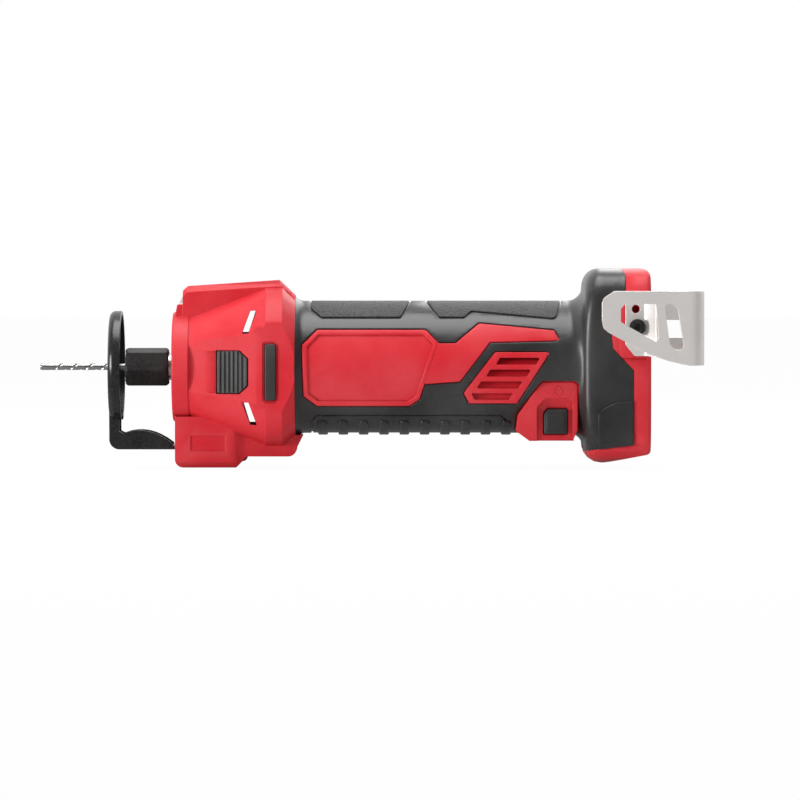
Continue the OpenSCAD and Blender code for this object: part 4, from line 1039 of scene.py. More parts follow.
@dataclass(frozen=True)
class Moulded:
    """Moulded plastic or rubber, with the grain that its mould gives it."""

    name: str
    colour: Triple
    roughness: float
    grain: Grain = Grain.SPARK
    depth: float = 0.00004
    sheen: float = 0.0
    level: float = 0.5
    coat: float = 0.0
    # Share of the lighter colour painted on convex edges as an edge highlight.
    edge_highlight: float = 0.35

    CLOUDS, SPECKS, DOTS, SPARKS, RIPPLES = 38.0, 2600.0, 880.0, 1500.0, 420.0

    def make(self) -> bpy.types.Material:
        """Builds the material.

        Returns:
            The material.
        """
        r = Recipe(self.name)
        cloud = r.noise(self.CLOUDS, 4.0)
        speck = r.noise(self.SPECKS, 2.0)
        tone = (cloud*0.7 + speck*0.3).between(0.25, 0.75)
        base = r.tint(tone, lightened(self.colour, -0.07), lightened(self.colour, 0.03))
        # Convex edges are tinted lighter: a painted edge highlight.
        r.set(Base_Color=r.tint(r.edges()*self.edge_highlight, base, lightened(self.colour, 0.16)))
        r.set(Roughness=self.roughness + (cloud - 0.5)*0.12 + (speck - 0.5)*0.08)
        if self.grain is Grain.STIPPLE:
            dots = 1 - r.cells(self.DOTS).between(0.18, 0.52)
            relief = dots*0.85 + speck*0.15
        elif self.grain is Grain.SPARK:
            relief = r.noise(self.SPARKS)
        else:
            relief = r.noise(self.RIPPLES, 2.0)
        r.set(Normal=r.bump(relief, self.depth))
        r.set(Specular_IOR_Level=self.level, Sheen_Weight=self.sheen, Coat_Weight=self.coat)
        if self.sheen:
            r.set(Sheen_Roughness=0.45)
        if self.coat:
            r.set(Coat_Roughness=0.12)
        return r.material


@dataclass(frozen=True)
class Metal:
    """Bare, plated or coated metal, with the marks of its making."""

    name: str
    colour: Triple
    roughness: float
    lay: Lay
    metallic: float = 1.0
    marks: float = 0.00001
    # Scales the random tone and the painted edge highlight on convex edges.
    tone_and_highlight: float = 1.0
    level: float = 0.5

    LINES, CLOUDS = 620.0, 55.0
    STRETCH = {Lay.TURNED: (9.0, 0.6, 0.6), Lay.BRUSHED: (0.12, 4.0, 4.0), Lay.ROLLED: (1.0, 1.0, 1.0)}

    def make(self) -> bpy.types.Material:
        """Builds the material.

        Returns:
            The material.
        """
        r, tone_and_highlight = Recipe(self.name), self.tone_and_highlight
        lines = r.noise(self.LINES, stretch=self.STRETCH[self.lay])
        cloud = r.noise(self.CLOUDS)
        tone = (lines*0.5 + cloud*0.5).between(0.3, 0.7)
        base = r.tint(tone, lightened(self.colour, -0.12*tone_and_highlight), lightened(self.colour, 0.05*tone_and_highlight))
        # Convex edges are tinted lighter: a painted edge highlight.
        r.set(Base_Color=r.tint(r.edges()*tone_and_highlight*0.25, base, lightened(self.colour, 0.3)))
        r.set(Roughness=self.roughness + (lines - 0.5)*(0.16*tone_and_highlight) + (cloud - 0.5)*(0.12*tone_and_highlight))
        r.set(Metallic=self.metallic, Specular_IOR_Level=self.level, Normal=r.bump(lines, self.marks))
        return r.material


@dataclass(frozen=True)
class Lens:
    """Clear moulded window of the work light."""

    name: str
    flutes: float = 260.0
    depth: float = 0.00012

    def make(self) -> bpy.types.Material:
        """Builds the material.

        Returns:
            The material.
        """
        r = Recipe(self.name)
        r.set(Base_Color=r.tint(r.noise(60.0), (0.82, 0.86, 0.9), (0.93, 0.95, 0.97)))
        r.set(Roughness=0.16 + r.noise(300.0)*0.1, Normal=r.bump(r.waves("Y", self.flutes), self.depth))
        r.set(Transmission_Weight=0.55, IOR=1.49)
        return r.material


@dataclass(frozen=True)
class Laminated:
    """Stack of iron sheets or copper wire: fine bands across the tool's length."""

    name: str
    colour: Triple
    pitch: float
    roughness: float

    WAVE = 0.314

    def make(self) -> bpy.types.Material:
        """Builds the material.

        Returns:
            The material.
        """
        r = Recipe(self.name)
        bands = r.waves("X", self.WAVE/self.pitch, 0.6)
        r.set(Base_Color=r.tint(bands, lightened(self.colour, -0.35), lightened(self.colour, 0.06)))
        r.set(Roughness=self.roughness + r.noise(200.0)*0.15, Metallic=0.9)
        r.set(Normal=r.bump(bands, self.pitch*0.25))
        return r.material


RUBBER = (0.0115, 0.0111, 0.0108)
STIPPLED = Moulded("grip_rubber_stippled", RUBBER, 0.62, Grain.STIPPLE, 0.00028, sheen=0.1, edge_highlight=0.08)
BY_SLOT: dict[str, Finish] = {
    "red_plastic": Moulded("red_plastic", (0.55, 0.010, 0.020), 0.42, depth=0.00003, level=0.2, edge_highlight=0.1),
    "grip_rubber": Moulded("grip_rubber", RUBBER, 0.33, depth=0.00003, level=0.45, edge_highlight=0.08),
    "black_plastic": Moulded("black_plastic", (0.012, 0.0115, 0.011), 0.4, Grain.SMOOTH, 0.00002, edge_highlight=0.06),
    "dark_plastic": Moulded("dark_plastic", (0.023, 0.0222, 0.0215), 0.48, edge_highlight=0.1),
    "black_steel": Metal("black_enamel", (0.007, 0.007, 0.007), 0.26, Lay.ROLLED, 0.0, 0.000004, 0.25, 0.4),
    "blackened_steel": Metal("blackened_steel", (0.006, 0.0058, 0.0055), 0.5, Lay.ROLLED, 0.0, 0.00002,
                             0.5, 0.3),
    "bright_steel": Metal("bright_steel", (0.60, 0.59, 0.57), 0.27, Lay.TURNED),
    "nickel_plate": Metal("nickel_plate", (0.80, 0.772, 0.745), 0.34, Lay.BRUSHED, 0.5, 0.000006, 0.5),
    "copper": Laminated("copper", (0.78, 0.35, 0.18), 0.0008, 0.3),
    "iron": Laminated("iron", (0.30, 0.30, 0.31), 0.0006, 0.4),
    "carbon": Moulded("carbon", (0.02, 0.02, 0.02), 0.55),
    "circuit_board": Moulded("circuit_board", (0.015, 0.11, 0.035), 0.35, Grain.SMOOTH, coat=0.4),
    "clear_lens": Lens("clear_lens"),
    "red_lead": Moulded("red_lead", (0.42, 0.015, 0.015), 0.45, Grain.SMOOTH),
    "black_lead": Moulded("black_lead", (0.02, 0.02, 0.02), 0.45, Grain.SMOOTH)}


class Finishes:
    """All materials, by the record's material slots, and the stippled rubber of the pads."""

    def __init__(self) -> None:
        """Makes every material once."""
        self.by_slot = {slot: finish.make() for slot, finish in BY_SLOT.items()}
        self.stippled = STIPPLED.make()

    def dress_nodes(self) -> None:
        """Gives every CAD node the material of its own slot."""
        slots = {row["node"]: row["material_slot"] for row in frame["record"]["subparts"]}
        for name, node in frame["nodes"].items():
            dress(node, self.by_slot[slots[name]])

    def hand_in(self, piece: Piece, body: str, slot: str, node: str) -> None:
        """Gives a piece the material of its slot and hands it to the frame.

        Args:
            piece: the finished object, in metres.
            body: the CAD body that it moves with.
            slot: the record's material slot.
            node: the CAD node that it stands for.
        """
        dress(piece, self.by_slot[slot])
        place(piece, body, node)


# Sub-assemblies


GRIP_BOX = (91.0, 0.0, 140.5, 32.4)
FOOT_BOX = (231.5, 0.0, 32.1, 48.3)


@dataclass
class GripShells:
    """Red clamshell halves and their rubber, with pads, ribs and the switch bezel."""

    plate: Outline = boxed(
        ((0, 0.8), (0.11, 1), (0.905, 1), (1, 0.83), (0.897, 0.29), (0.86, 0.09), (0.785, 0), (0.11, 0),
         (0.012, 0.13)), 94.6, -18.5, 66.2, 37.0)
    band: Outline = boxed(
        ((0.06, 0.674), (0.215, 0.674), (0.395, 1), (0.96, 0.885), (1, 0.725), (0.475, 0.695), (0.247, 0.043),
         (-0.035, 0)), 155.2, -7.8, 64.2, 29.4)
    vent: Outline = boxed(
        ((0.385, 0.985), (1.03, 0.985), (0.64, 0), (0.08, 0), (0.015, 0.2)), 172.4, -17.2, 41.1, 25.3)
    slots: tuple[Outline, ...] = (
        ((190.5, 5.1), (210.0, 5.1), (208.0, 1.7), (188.5, 1.7)),
        ((185.8, -0.7), (205.6, -0.7), (203.6, -4.1), (183.8, -4.1)),
        ((181.3, -6.5), (201.6, -6.5), (199.6, -9.9), (179.3, -9.9)),
        ((176.7, -12.2), (197.7, -12.2), (195.8, -15.4), (178.3, -15.4)))
    switch: Outline = boxed(
        ((0.424, 1), (0.94, 1), (1, 0.956), (1, 0.18), (0.92, 0), (0.217, 0), (0, 0.165), (0.03, 0.435),
         (0.3, 0.847)), 198.4, -35.4, 29.9, 28.6)
    rim: Outline = boxed(
        ((0.5, 1.05), (0.62, 0.94), (0.62, 0.78), (0.42, 0.64), (0.4, 0.33), (0.42, 0.2), (0.735, -0.02),
         (0.735, -0.77), (0.22, -0.81), (-0.09, -0.85), (-0.09, -1.2), (1.1, -1.2), (1.1, 1.2), (0.5, 1.2)),
        *FOOT_BOX)
    front_pad: Outline = boxed(
        ((0.052, 1.2), (0.052, 0.885), (0.09, 0.75), (0.368, 0.75), (0.398, 0.99), (0.398, 1.2)), *GRIP_BOX)
    rear_pad: Outline = boxed(
        ((0.455, 1.2), (0.455, 0.99), (0.499, 0.75), (0.587, 0.75), (0.612, 0.845), (0.892, 0.735),
         (0.907, 0.76), (0.923, 0.98), (0.923, 1.2)), *GRIP_BOX)
    rib_field: Outline = boxed(
        ((0.058, -0.79), (0.075, -0.72), (0.716, -0.72), (0.733, -0.81), (0.733, -1.2), (0.058, -1.2)),
        *GRIP_BOX)
    foot_pad: Outline = (
        (237.9, -46.0), (237.9, -22.0), (240.4, -19.5), (246.0, -16.6), (257.0, -15.4), (257.0, -46.0))
    well: Outline = (
        (208.7, -40.0), (225.7, -40.0), (225.7, -16.2), (224.3, -14.8), (212.7, -14.8), (208.7, -18.8))
    well_part: Outline = oblong(200.0, -35.3, 240.0, 0.0)
    well_y: float = 25.5
    well_rise: Outline = ((-20.6, 0.0), (-18.6, 0.5), (-16.6, 1.6), (-14.4, 3.0))
    button_hole: Outline = ((211.7, -32.4), (223.5, -32.4), (223.5, -19.6), (213.8, -19.6), (211.7, -21.7))
    bezel: LeaningFace = LeaningFace(((0.0, 29.5),), ((-35.4, -2.5), (-20.0, 0.0)))
    sign: Point = (218.6, -11.1)
    sign_r: Point = (2.2, 1.6)
    sign_bar: Point = (1.4, 0.5)
    seat_corner: Outline = ((240.0, 10.2), (244.6, 10.2), (254.9, -0.8), (254.9, -6.0), (240.0, -6.0))
    seat_y: float = 36.5
    spare_hole: Point = (255.9, 28.7)
    spare_r: float = 1.7
    spare_y: float = 31.0
    rib_x: float = 102.0
    rib_z: Point = (-60.0, -25.9)
    rib_pitch: float = 9.95
    rib_w: float = 4.8
    rib_count: int = 10
    rim_w: float = 2.3
    groove: float = 0.9
    gap: float = 0.5
    band_lap: float = 0.6
    blade_lap: float = 0.9
    well_lap: float = 0.8
    well_gap: float = 0.5
    bezel_lap: float = 0.05
    bezel_gap: float = 0.4
    plate_corner: float = 2.2
    panel_corner: float = 1.6
    pad_corner: float = 2.0
    rim_corner: float = 1.2
    slot_corner: float = 0.7
    well_corner: float = 2.2
    bezel_corner: float = 0.8
    sign_corner: float = 0.2
    rear_edge: float = 1.9
    side_edge: float = 0.4
    side_from: Point = (243.0, 36.6)
    sharp: float = 0.7
    reliefs: dict[str, Relief] = field(default_factory=lambda: {
        "skin": Relief(-1.6, -0.75, 0.1), "cover": Relief(-1.0, 0.0, 0.32),
        "rib_field": Relief(-1.0, -0.1, 0.3), "rib": Relief(-0.6, 0.9, 0.8),
        "foot_pad": Relief(-0.4, 0.8, 0.6), "pad": Relief(-1.0, 0.05, 0.32),
        "plate_rim": Relief(-1.4, 0.3, 0.6), "plate_field": Relief(-1.4, -0.7, 0.1),
        "band": Relief(-1.4, 0.12, 0.4), "vent": Relief(-1.4, 0.12, 0.3), "blade": Relief(-1.8, -1.2, 0.1),
        "bezel_cut": Relief(-1.3, 6.0, 0.1), "well_cut": Relief(-0.6, 12.0, 0.1),
        "seat_cut": Relief(0.0, 8.0, 0.1), "spare_cut": Relief(0.0, 9.0, 0.1),
        "bezel": Relief(-7.0, 0.05, 0.6), "well": Relief(-2.0, 0.0, 0.5),
        "sign": Relief(-0.3, 0.3, 0.15), "sign_bar": Relief(-0.3, 0.25, 0.12)})

    def whole(self) -> Outline:
        """Flat sheet of the whole half, between the parting plane's two edges."""
        return oblong(FORM.grip_x, -FORM.quarter, FORM.end, FORM.quarter)

    def build(self, finishes: Finishes) -> None:
        """Models and dresses both halves.

        Args:
            finishes: the materials.
        """
        for side in Side:
            name = side.name.lower()
            self._rubber(side, name, finishes)
            self._shell(side, name, finishes)

    def _panel(self, name: str, inside: list[Outline], outside: Sequence[Outline] = (),
               form: Form = FORM) -> Panel:
        """A panel with the relief of its name."""
        return Panel(name, inside, list(outside), self.reliefs[name], form)

    def _rubber(self, side: Side, name: str, finishes: Finishes) -> None:
        """Rubber of one half: a base skin, the main cover, ribs, the foot pad and stippled pads.

        Args:
            side: the half.
            name: the half's name.
            finishes: the materials.
        """
        whole = self.whole()
        red = [rounded(self.plate, self.plate_corner)]
        red += [rounded(o, self.panel_corner) for o in (self.band, self.vent, self.switch)]
        windows = [FORM.flat(grown(o, self.gap)) for o in red]
        windows.append(FORM.flat(rounded(self.rim, self.rim_corner)))
        fields = [rounded(o, self.pad_corner) for o in (self.rib_field, self.front_pad, self.rear_pad)]
        grooves = [FORM.flat(grown(o, self.groove/2)) for o in fields]
        ribbed, *padded = [[whole, FORM.flat(grown(o, -self.groove/2))] for o in fields]
        plain = [self._panel("skin", [whole], windows), self._panel("cover", [whole], windows + grooves),
                 self._panel("rib_field", ribbed)]
        low, high = self.rib_z
        for i in range(self.rib_count):
            x = self.rib_x + i*self.rib_pitch
            bar = rounded(oblong(x, low, x + self.rib_w, high), self.panel_corner)
            plain.append(self._panel("rib", [whole, FORM.flat(bar)]))
        foot = FORM.flat(rounded(self.foot_pad, self.pad_corner))
        plain.append(self._panel("foot_pad", [whole, foot], windows[-1:]))
        parts = [panel.build(side) for panel in plain + [self._panel("pad", pad) for pad in padded]]
        for part in parts:
            dress(part, finishes.by_slot["grip_rubber"], finishes.stippled)
        for part in parts[len(plain):]:
            second = np.ones(len(part.data.polygons), dtype=np.int32)
            part.data.polygons.foreach_set("material_index", second)
        piece = settle(join(parts, f"rubber_{name}"))
        smooth(piece, 34.0)
        place(piece, "housing", f"{name}_overmould")

    def _shell(self, side: Side, name: str, finishes: Finishes) -> None:
        """Red half: the CAD shell with its panels' true curves and soft edges.

        Args:
            side: the half.
            name: the half's name.
            finishes: the materials.
        """
        copy = cad_copy(f"{name}_shell", "shell")
        opening = grown(self.switch, self.bezel_gap)
        carve(copy, self._panel("bezel_cut", [opening], form=self.bezel).build(side))
        edge = rounded(grown(self.switch, self.bezel_lap), self.bezel_corner)
        face = self._panel("bezel", [edge], form=self.bezel)
        parts = self._panels() + [face]
        if side is Side.LEFT:
            for what, outline, y in (("well_cut", grown(self.well, self.well_gap), self.well_y),
                                     ("seat_cut", self.seat_corner, self.seat_y),
                                     ("spare_cut", circle(self.spare_hole, self.spare_r), self.spare_y)):
                carve(copy, self._panel(what, [outline], form=level(y)).build(side))
            face.outside.append(rounded(self.well, self.well_corner))
            parts += self._switch_details()
        self._round_rim(copy)
        built = [panel.build(side) for panel in parts]
        smooth(built[parts.index(face)], 32.0, flat=True)
        piece = settle(join([copy] + built, f"shell_{name}"))
        smooth(piece, 32.0)
        finishes.hand_in(piece, "housing", "red_plastic", f"{name}_shell")

    def _panels(self) -> list[Panel]:
        """Panels of a red half that follow the grip.

        Returns:
            The side plate's rim and field, the band, the vent and its louvre blades.
        """
        whole = self.whole()
        plate = rounded(self.plate, self.plate_corner)
        rim, middle = (FORM.flat(rounded(grown(self.plate, -by), self.rim_corner))
                       for by in (self.rim_w, self.rim_w/2))
        band, vent = (FORM.flat(rounded(o, self.panel_corner)) for o in (self.band, self.vent))
        slots = [FORM.flat(rounded(o, self.slot_corner)) for o in self.slots]
        panels = [self._panel("plate_rim", [whole, FORM.flat(plate)], [rim]),
                  self._panel("plate_field", [whole, middle]),
                  self._panel("band", [whole, band], [FORM.flat(grown(plate, -self.band_lap))]),
                  self._panel("vent", [whole, vent], slots)]
        for slot in self.slots:
            blade = FORM.flat(grown(slot, self.blade_lap))
            panels.append(self._panel("blade", [blade], form=Louvre(min(u for _, u in blade))))
        return panels

    def _switch_details(self) -> list[Panel]:
        """Panels about the push button, on the left half only.

        Returns:
            The button's well and the two parts of the on and off sign.
        """
        length, height = self.sign_bar
        x, z = self.sign[0] - length/2, self.sign[1] - height/2
        bar = rounded(oblong(x, z, x + length, z + height), self.sign_corner)
        ring, opening = (circle(self.sign, r) for r in self.sign_r)
        floor = LeaningFace(((0.0, self.well_y),), self.well_rise)
        return [self._panel("well", [grown(self.well, self.well_lap), self.well_part],
                            [rounded(self.button_hole, self.bezel_corner)], floor),
                self._panel("sign", [ring], [opening], self.bezel),
                self._panel("sign_bar", [bar], form=self.bezel)]

    def _round_rim(self, shell: Piece) -> None:
        """Rounds the foot's rear edge, and less the edges between the rim and the rubber.

        Args:
            shell: the CAD shell's copy.
        """
        for rear, offset in ((True, self.rear_edge), (False, self.side_edge)):
            with editing(shell) as mesh:
                bpy.ops.mesh.select_mode(type="EDGE")
                bpy.ops.mesh.select_all(action="DESELECT")
                for edge in mesh.edges:
                    if len(edge.link_faces) == 2 and edge.is_convex and edge.calc_face_angle(0.0) > self.sharp:
                        edge.select_set(self._on_rim(edge, rear))
                bpy.ops.mesh.bevel(offset=offset, segments=4 if rear else 2, clamp_overlap=False)

    def _on_rim(self, edge: bmesh.types.BMEdge, rear: bool) -> bool:
        """Whether an edge belongs to the foot's rim.

        Args:
            edge: a sharp outer edge.
            rear: asks for the outer rear edge, or else for the side's edges.

        Returns:
            True if it does.
        """
        low = min(v.co.x for v in edge.verts)
        if not rear:
            x, y = self.side_from
            return low > x and min(abs(v.co.y) for v in edge.verts) > y
        away = (0.0, *edge.verts[0].co.yz)
        outer = [f for f in edge.link_faces if f.normal.x < 0.7 and f.normal.dot(away) > 8.0]
        return low > FORM.rear_x - 0.3 and len(outer) == 1


@dataclass
class PushButton:
    """On and off button: a cap with a raised face, on the CAD button's flange and plunger.

    Attributes:
        outline: the CAD button's outline.
        cap_edge: how far the cap reaches past it, and its corners' radius.
        face_edge: the same for the face.
        face_y: the face's distance from the tool's middle.
        cut_y: where the CAD button is cut off.
        cap: the cap's heights.
        face: the face's heights.
    """

    outline: Outline = ((212.1, -32.0), (223.1, -32.0), (223.1, -20.0), (214.1, -20.0), (212.1, -22.0))
    cap_edge: Point = (0.02, 0.7)
    face_edge: Point = (-1.0, 1.2)
    face_y: float = 28.3
    cut_y: float = -25.9
    cap: Relief = Relief(-4.0, -0.55, 0.5)
    face: Relief = Relief(-1.5, 0.0, 0.4)

    def build(self, finishes: Finishes) -> None:
        """Models and dresses the button.

        Args:
            finishes: the materials.
        """
        parts = [cad_copy("push_button", "button")]
        trim(parts[0], self.cut_y, -1)
        for name, (by, radius), relief in (("cap", self.cap_edge, self.cap), ("face", self.face_edge, self.face)):
            edge = rounded(grown(self.outline, by), radius)
            parts.append(Panel(name, [edge], [], relief, level(self.face_y)).build(Side.LEFT))
        piece = settle(join(parts, "button"))
        smooth(piece, 40.0, flat=True)
        finishes.hand_in(piece, "push_button", "black_plastic", "push_button")


@dataclass
class LockButton:
    """Spindle lock button: round upright ribs on a body that leans with the nose's side."""

    left: float = 53.3
    right: float = 68.2
    low: float = -12.25
    high: float = 8.25
    corner: Point = (4.1, 3.8)
    edge: float = 0.8
    ribs: int = 7
    rib_z: Point = (-40.0, 40.0)
    gap: float = 0.85
    end_gap: float = 0.1
    cut_y: float = -25.5
    body: Relief = Relief(-9.0, -0.75, 0.3)
    rib: Relief = Relief(-1.4, 0.0, 0.5)
    form: LeaningFace = LeaningFace(((40.0, 24.8), (72.0, 34.8)))

    def build(self, finishes: Finishes) -> None:
        """Models and dresses the button.

        Args:
            finishes: the materials.
        """
        c, d = self.corner
        outline = ((self.left, self.low), (self.right - c, self.low), (self.right, self.low + d),
                   (self.right, self.high - d), (self.right - c, self.high), (self.left, self.high))
        base = cad_copy("lock_button", "lock")
        trim(base, self.cut_y, -1)
        parts = [Panel("body", [rounded(outline, self.edge)], [], self.body, self.form)]
        ribbed = rounded(grown(outline, -self.end_gap), self.edge)
        pitch = (self.right - self.left)/self.ribs
        for i in range(self.ribs):
            x = self.left + i*pitch
            a = x + (self.gap/2 if i else self.end_gap)
            b = x + pitch - (self.gap/2 if i < self.ribs - 1 else self.end_gap)
            bar = oblong(a, self.rib_z[0], b, self.rib_z[1])
            parts.append(Panel("rib", [bar, ribbed], [], self.rib, self.form))
        built = [panel.build(Side.LEFT) for panel in parts]
        for one in built:
            trim(one, self.cut_y, 1)
        piece = settle(join([base] + built, "lock_button_ribbed"))
        smooth(piece, 40.0, flat=True)
        finishes.hand_in(piece, "lock_button", "dark_plastic", "lock_button")


@dataclass
class CuttingBit:
    """Spiral cutter: a fluted length between a smooth pilot and a smooth shank."""

    tip_x: float = -34.3
    flutes_x: float = -29.3
    flutes_l: float = 33.3
    lead: float = 15.0
    end_x: float = 24.0
    radius: float = 1.5875
    flute_r: float = 1.2
    flute_at: float = 2.3
    overlap: float = 0.4
    end_edge: float = 0.3
    sides: int = 56
    steps: int = 150

    def build(self, finishes: Finishes) -> None:
        """Models and dresses the bit.

        Args:
            finishes: the materials.
        """
        pieces = [self._flutes(), self._rod(self.tip_x, self.flutes_x + self.overlap, True),
                  self._rod(self.flutes_x + self.flutes_l - self.overlap, self.end_x, False)]
        piece = settle(join(pieces, "spiral_bit"))
        smooth(piece, 38.0)
        finishes.hand_in(piece, "rotor", "bright_steel", "cutting_bit")

    def _flutes(self) -> Piece:
        """Section with two flutes, swept along a screw.

        Returns:
            The fluted length.
        """
        bpy.ops.mesh.primitive_circle_add(vertices=self.sides, radius=self.radius, location=(0, 0, 0),
                                          rotation=(0, math.pi/2, 0))
        piece = bpy.context.object
        bpy.ops.object.transform_apply(location=True, rotation=True, scale=True)
        with editing(piece) as mesh:
            for spot in mesh.verts:
                lean = abs(spot.co.y)/self.radius
                reach = self.flute_at*lean
                if reach < self.flute_r:
                    bottom = self.flute_at*math.sqrt(1 - lean*lean) - math.sqrt(self.flute_r**2 - reach**2)
                    spot.co *= min(1.0, bottom/self.radius)
            bmesh.update_edit_mesh(piece.data)
        turn = -2*math.pi*self.flutes_l/self.lead
        use(piece, "SCREW", axis="X", angle=turn, screw_offset=self.flutes_l, steps=self.steps,
            render_steps=self.steps, use_merge_vertices=False)
        with editing(piece, every=True):
            bpy.ops.transform.translate(value=(self.flutes_x, 0, 0))
            bpy.ops.mesh.fill_holes(sides=0)
            bpy.ops.mesh.select_all(action="SELECT")
            bpy.ops.mesh.normals_make_consistent(inside=False)
        return piece

    def _rod(self, start: float, end: float, pointed: bool) -> Piece:
        """Smooth round length, with a rounded tip where it is the pilot.

        Args:
            start: X of its front.
            end: X of its rear.
            pointed: whether it is the pilot.

        Returns:
            The length.
        """
        bpy.ops.mesh.primitive_cylinder_add(vertices=self.sides, radius=self.radius, depth=end - start,
                                            location=((start + end)/2, 0, 0), rotation=(0, math.pi/2, 0))
        piece = bpy.context.object
        bpy.ops.object.transform_apply(location=True, rotation=True, scale=True)
        with editing(piece) as mesh:
            bpy.ops.mesh.select_mode(type="FACE")
            for face in mesh.faces:
                face.select_set(face.normal.x < -0.9 if pointed else face.normal.x > 0.9)
            bpy.ops.mesh.bevel(offset=self.radius/2 if pointed else self.end_edge, segments=4)
        return piece


@dataclass
class BeltHook:
    """Belt hook: one blanked sheet, bent round and cranked in to its seat on the foot."""

    strip: BentStrip = field(default_factory=lambda: BentStrip((238.9, -56.2), (
        (42.9, 0), (math.pi*5.5, 180), (13.62, 0), (3.0, -45), (5.32, 0), (3.0, 45), (8.1, 0))))
    outer_box: tuple[float, float, float, float] = (238.9, 1.7, 49.4, 35.8)
    inner_box: tuple[float, float, float, float] = (250.92, 1.7, 37.38, 35.8)
    leg: Outline = (
        (0.853, 0), (0.64, 0.064), (0.446, 0.157), (0.068, 0.44), (0.015, 0.5), (0, 0.6), (0, 0.84),
        (0.02, 0.91), (0.12, 1), (0.85, 1))
    pad: Outline = (
        (0.5, 1), (0.4, 0.96), (0.08, 0.96), (0, 0.9), (0, 0.27), (0.12, 0.12), (0.3, 0.12), (0.5, 0.09),
        (0.72, 0.01))
    window: Outline = (
        (0.184, 0.76), (0.223, 0.825), (0.523, 0.825), (0.552, 0.37), (0.523, 0.317), (0.184, 0.585))
    slot: Outline = (
        (0.61, 0.785), (0.63, 0.825), (0.68, 0.825), (0.737, 0.76), (0.795, 0.25), (0.757, 0.21),
        (0.708, 0.223), (0.66, 0.277))
    inner_slot: Outline = oblong(0.5, 0.375, 0.76, 0.61)
    holes: tuple[tuple[Point, float], ...] = (((256.6, 20.0), 2.1), ((255.9, 28.7), 2.0))
    corner: float = 2.0
    window_corner: float = 0.9
    inner_corner: float = 0.5
    sheet: Relief = Relief(-1.0, 1.0, 0.22, 0.22)

    def build(self, finishes: Finishes) -> None:
        """Models and dresses the hook.

        Args:
            finishes: the materials.
        """
        edge = rounded(self._outer(self.leg) + self._inner(self.pad), self.corner)
        openings = [rounded(self._outer(o), self.window_corner) for o in (self.window, self.slot)]
        openings.append(rounded(self._inner(self.inner_slot), self.inner_corner))
        openings += [circle((self.strip.inner(x), z), r) for (x, z), r in self.holes]
        panel = Panel("hook", [edge], openings, self.sheet, self.strip)
        piece = settle(join([panel.build(Side.LEFT)], "hook_sheet"))
        smooth(piece, 36.0, flat=True)
        finishes.hand_in(piece, "housing", "nickel_plate", "belt_hook")

    def _outer(self, shares: Outline) -> list[Point]:
        """Flat outline on the outer leg."""
        return [(self.strip.outer(x), z) for x, z in boxed(shares, *self.outer_box)]

    def _inner(self, shares: Outline) -> list[Point]:
        """Flat outline on the inner leg."""
        return [(self.strip.inner(x), z) for x, z in boxed(shares, *self.inner_box)]


@dataclass
class RoundedParts:
    """Pieces that keep their CAD form and get soft edges.

    Attributes:
        rows: CAD node, body, slot, and how far the rounding reaches from an edge, in millimetres.
        merge: points of the CAD form closer than this become one.
        even: its faces that meet at less than this angle become one, in degrees.
        sharp: edges sharper than this are rounded, in degrees.
        steps: faces across each rounding.
        stray: share of the rounding's reach that a point may leave the CAD form by.
        near: points of the rounded form closer than this become one.
        thin: its faces thinner than this are taken out.
        hole: sides of the largest hole that is closed.
        fold: angle of an edge that is folded back, in radians.
    """

    rows: tuple[tuple[str, str, str, float], ...] = (
        ("nose_housing", "housing", "red_plastic", 0.28),
        ("depth_guide", "depth_guide", "black_steel", 0.35),
        ("collet_nut", "rotor", "blackened_steel", 0.6),
        ("hook_screw", "housing", "blackened_steel", 0.25),
        ("clamp_lever", "clamp", "black_plastic", 0.5),
        ("side_bumpers", "housing", "dark_plastic", 0.5),
        ("work_light_lens", "housing", "clear_lens", 0.2),
        ("terminal_block", "housing", "black_plastic", 0.25))
    merge: float = 0.06
    even: float = 1.0
    sharp: float = 38.0
    steps: int = 3
    stray: float = 0.4
    near: float = 0.03
    thin: float = 0.02
    hole: int = 12
    fold: float = 1.2

    def build(self, finishes: Finishes) -> None:
        """Models and dresses the pieces.

        Args:
            finishes: the materials.
        """
        for node, body, slot, width in self.rows:
            piece = cad_copy(node, f"{node}_soft", self.merge, self.even)
            self._soften(piece, node, width)
            self._mend(piece)
            smooth(piece, 40.0, flat=True)
            finishes.hand_in(settle(piece), body, slot, node)

    def _soften(self, piece: Piece, node: str, width: float) -> None:
        """Rounds the sharp edges, and takes points that stray back to the CAD form.

        Args:
            piece: the CAD node's copy.
            node: the CAD node.
            width: how far the rounding reaches from an edge.
        """
        use(piece, "BEVEL", width=width, segments=self.steps, limit_method="ANGLE",
            angle_limit=math.radians(self.sharp), use_clamp_overlap=False, loop_slide=False)
        true = cad_copy(node, "true")
        for spot in piece.data.vertices:
            found, near, _, _ = true.closest_point_on_mesh(spot.co)
            if found and (near - spot.co).length > self.stray*width:
                spot.co = near
        bpy.data.objects.remove(true)

    def _mend(self, piece: Piece) -> None:
        """Merges what lies together, closes small holes and takes out points on folded edges.

        Args:
            piece: the rounded copy.
        """
        with editing(piece, every=True):
            bpy.ops.mesh.remove_doubles(threshold=self.near)
            bpy.ops.mesh.dissolve_degenerate(threshold=self.thin)
            bpy.ops.mesh.select_all(action="SELECT")
            bpy.ops.mesh.fill_holes(sides=self.hole)
        with editing(piece) as mesh:
            bpy.ops.mesh.select_all(action="DESELECT")
            bpy.ops.mesh.select_mode(type="VERT")
            for spot in mesh.verts:
                pairs = [e for e in spot.link_edges if len(e.link_faces) == 2]
                folded = any(e.calc_face_angle() > self.fold for e in pairs)
                spot.select_set(len(spot.link_edges) == 2 and folded)
            bpy.ops.mesh.dissolve_verts()


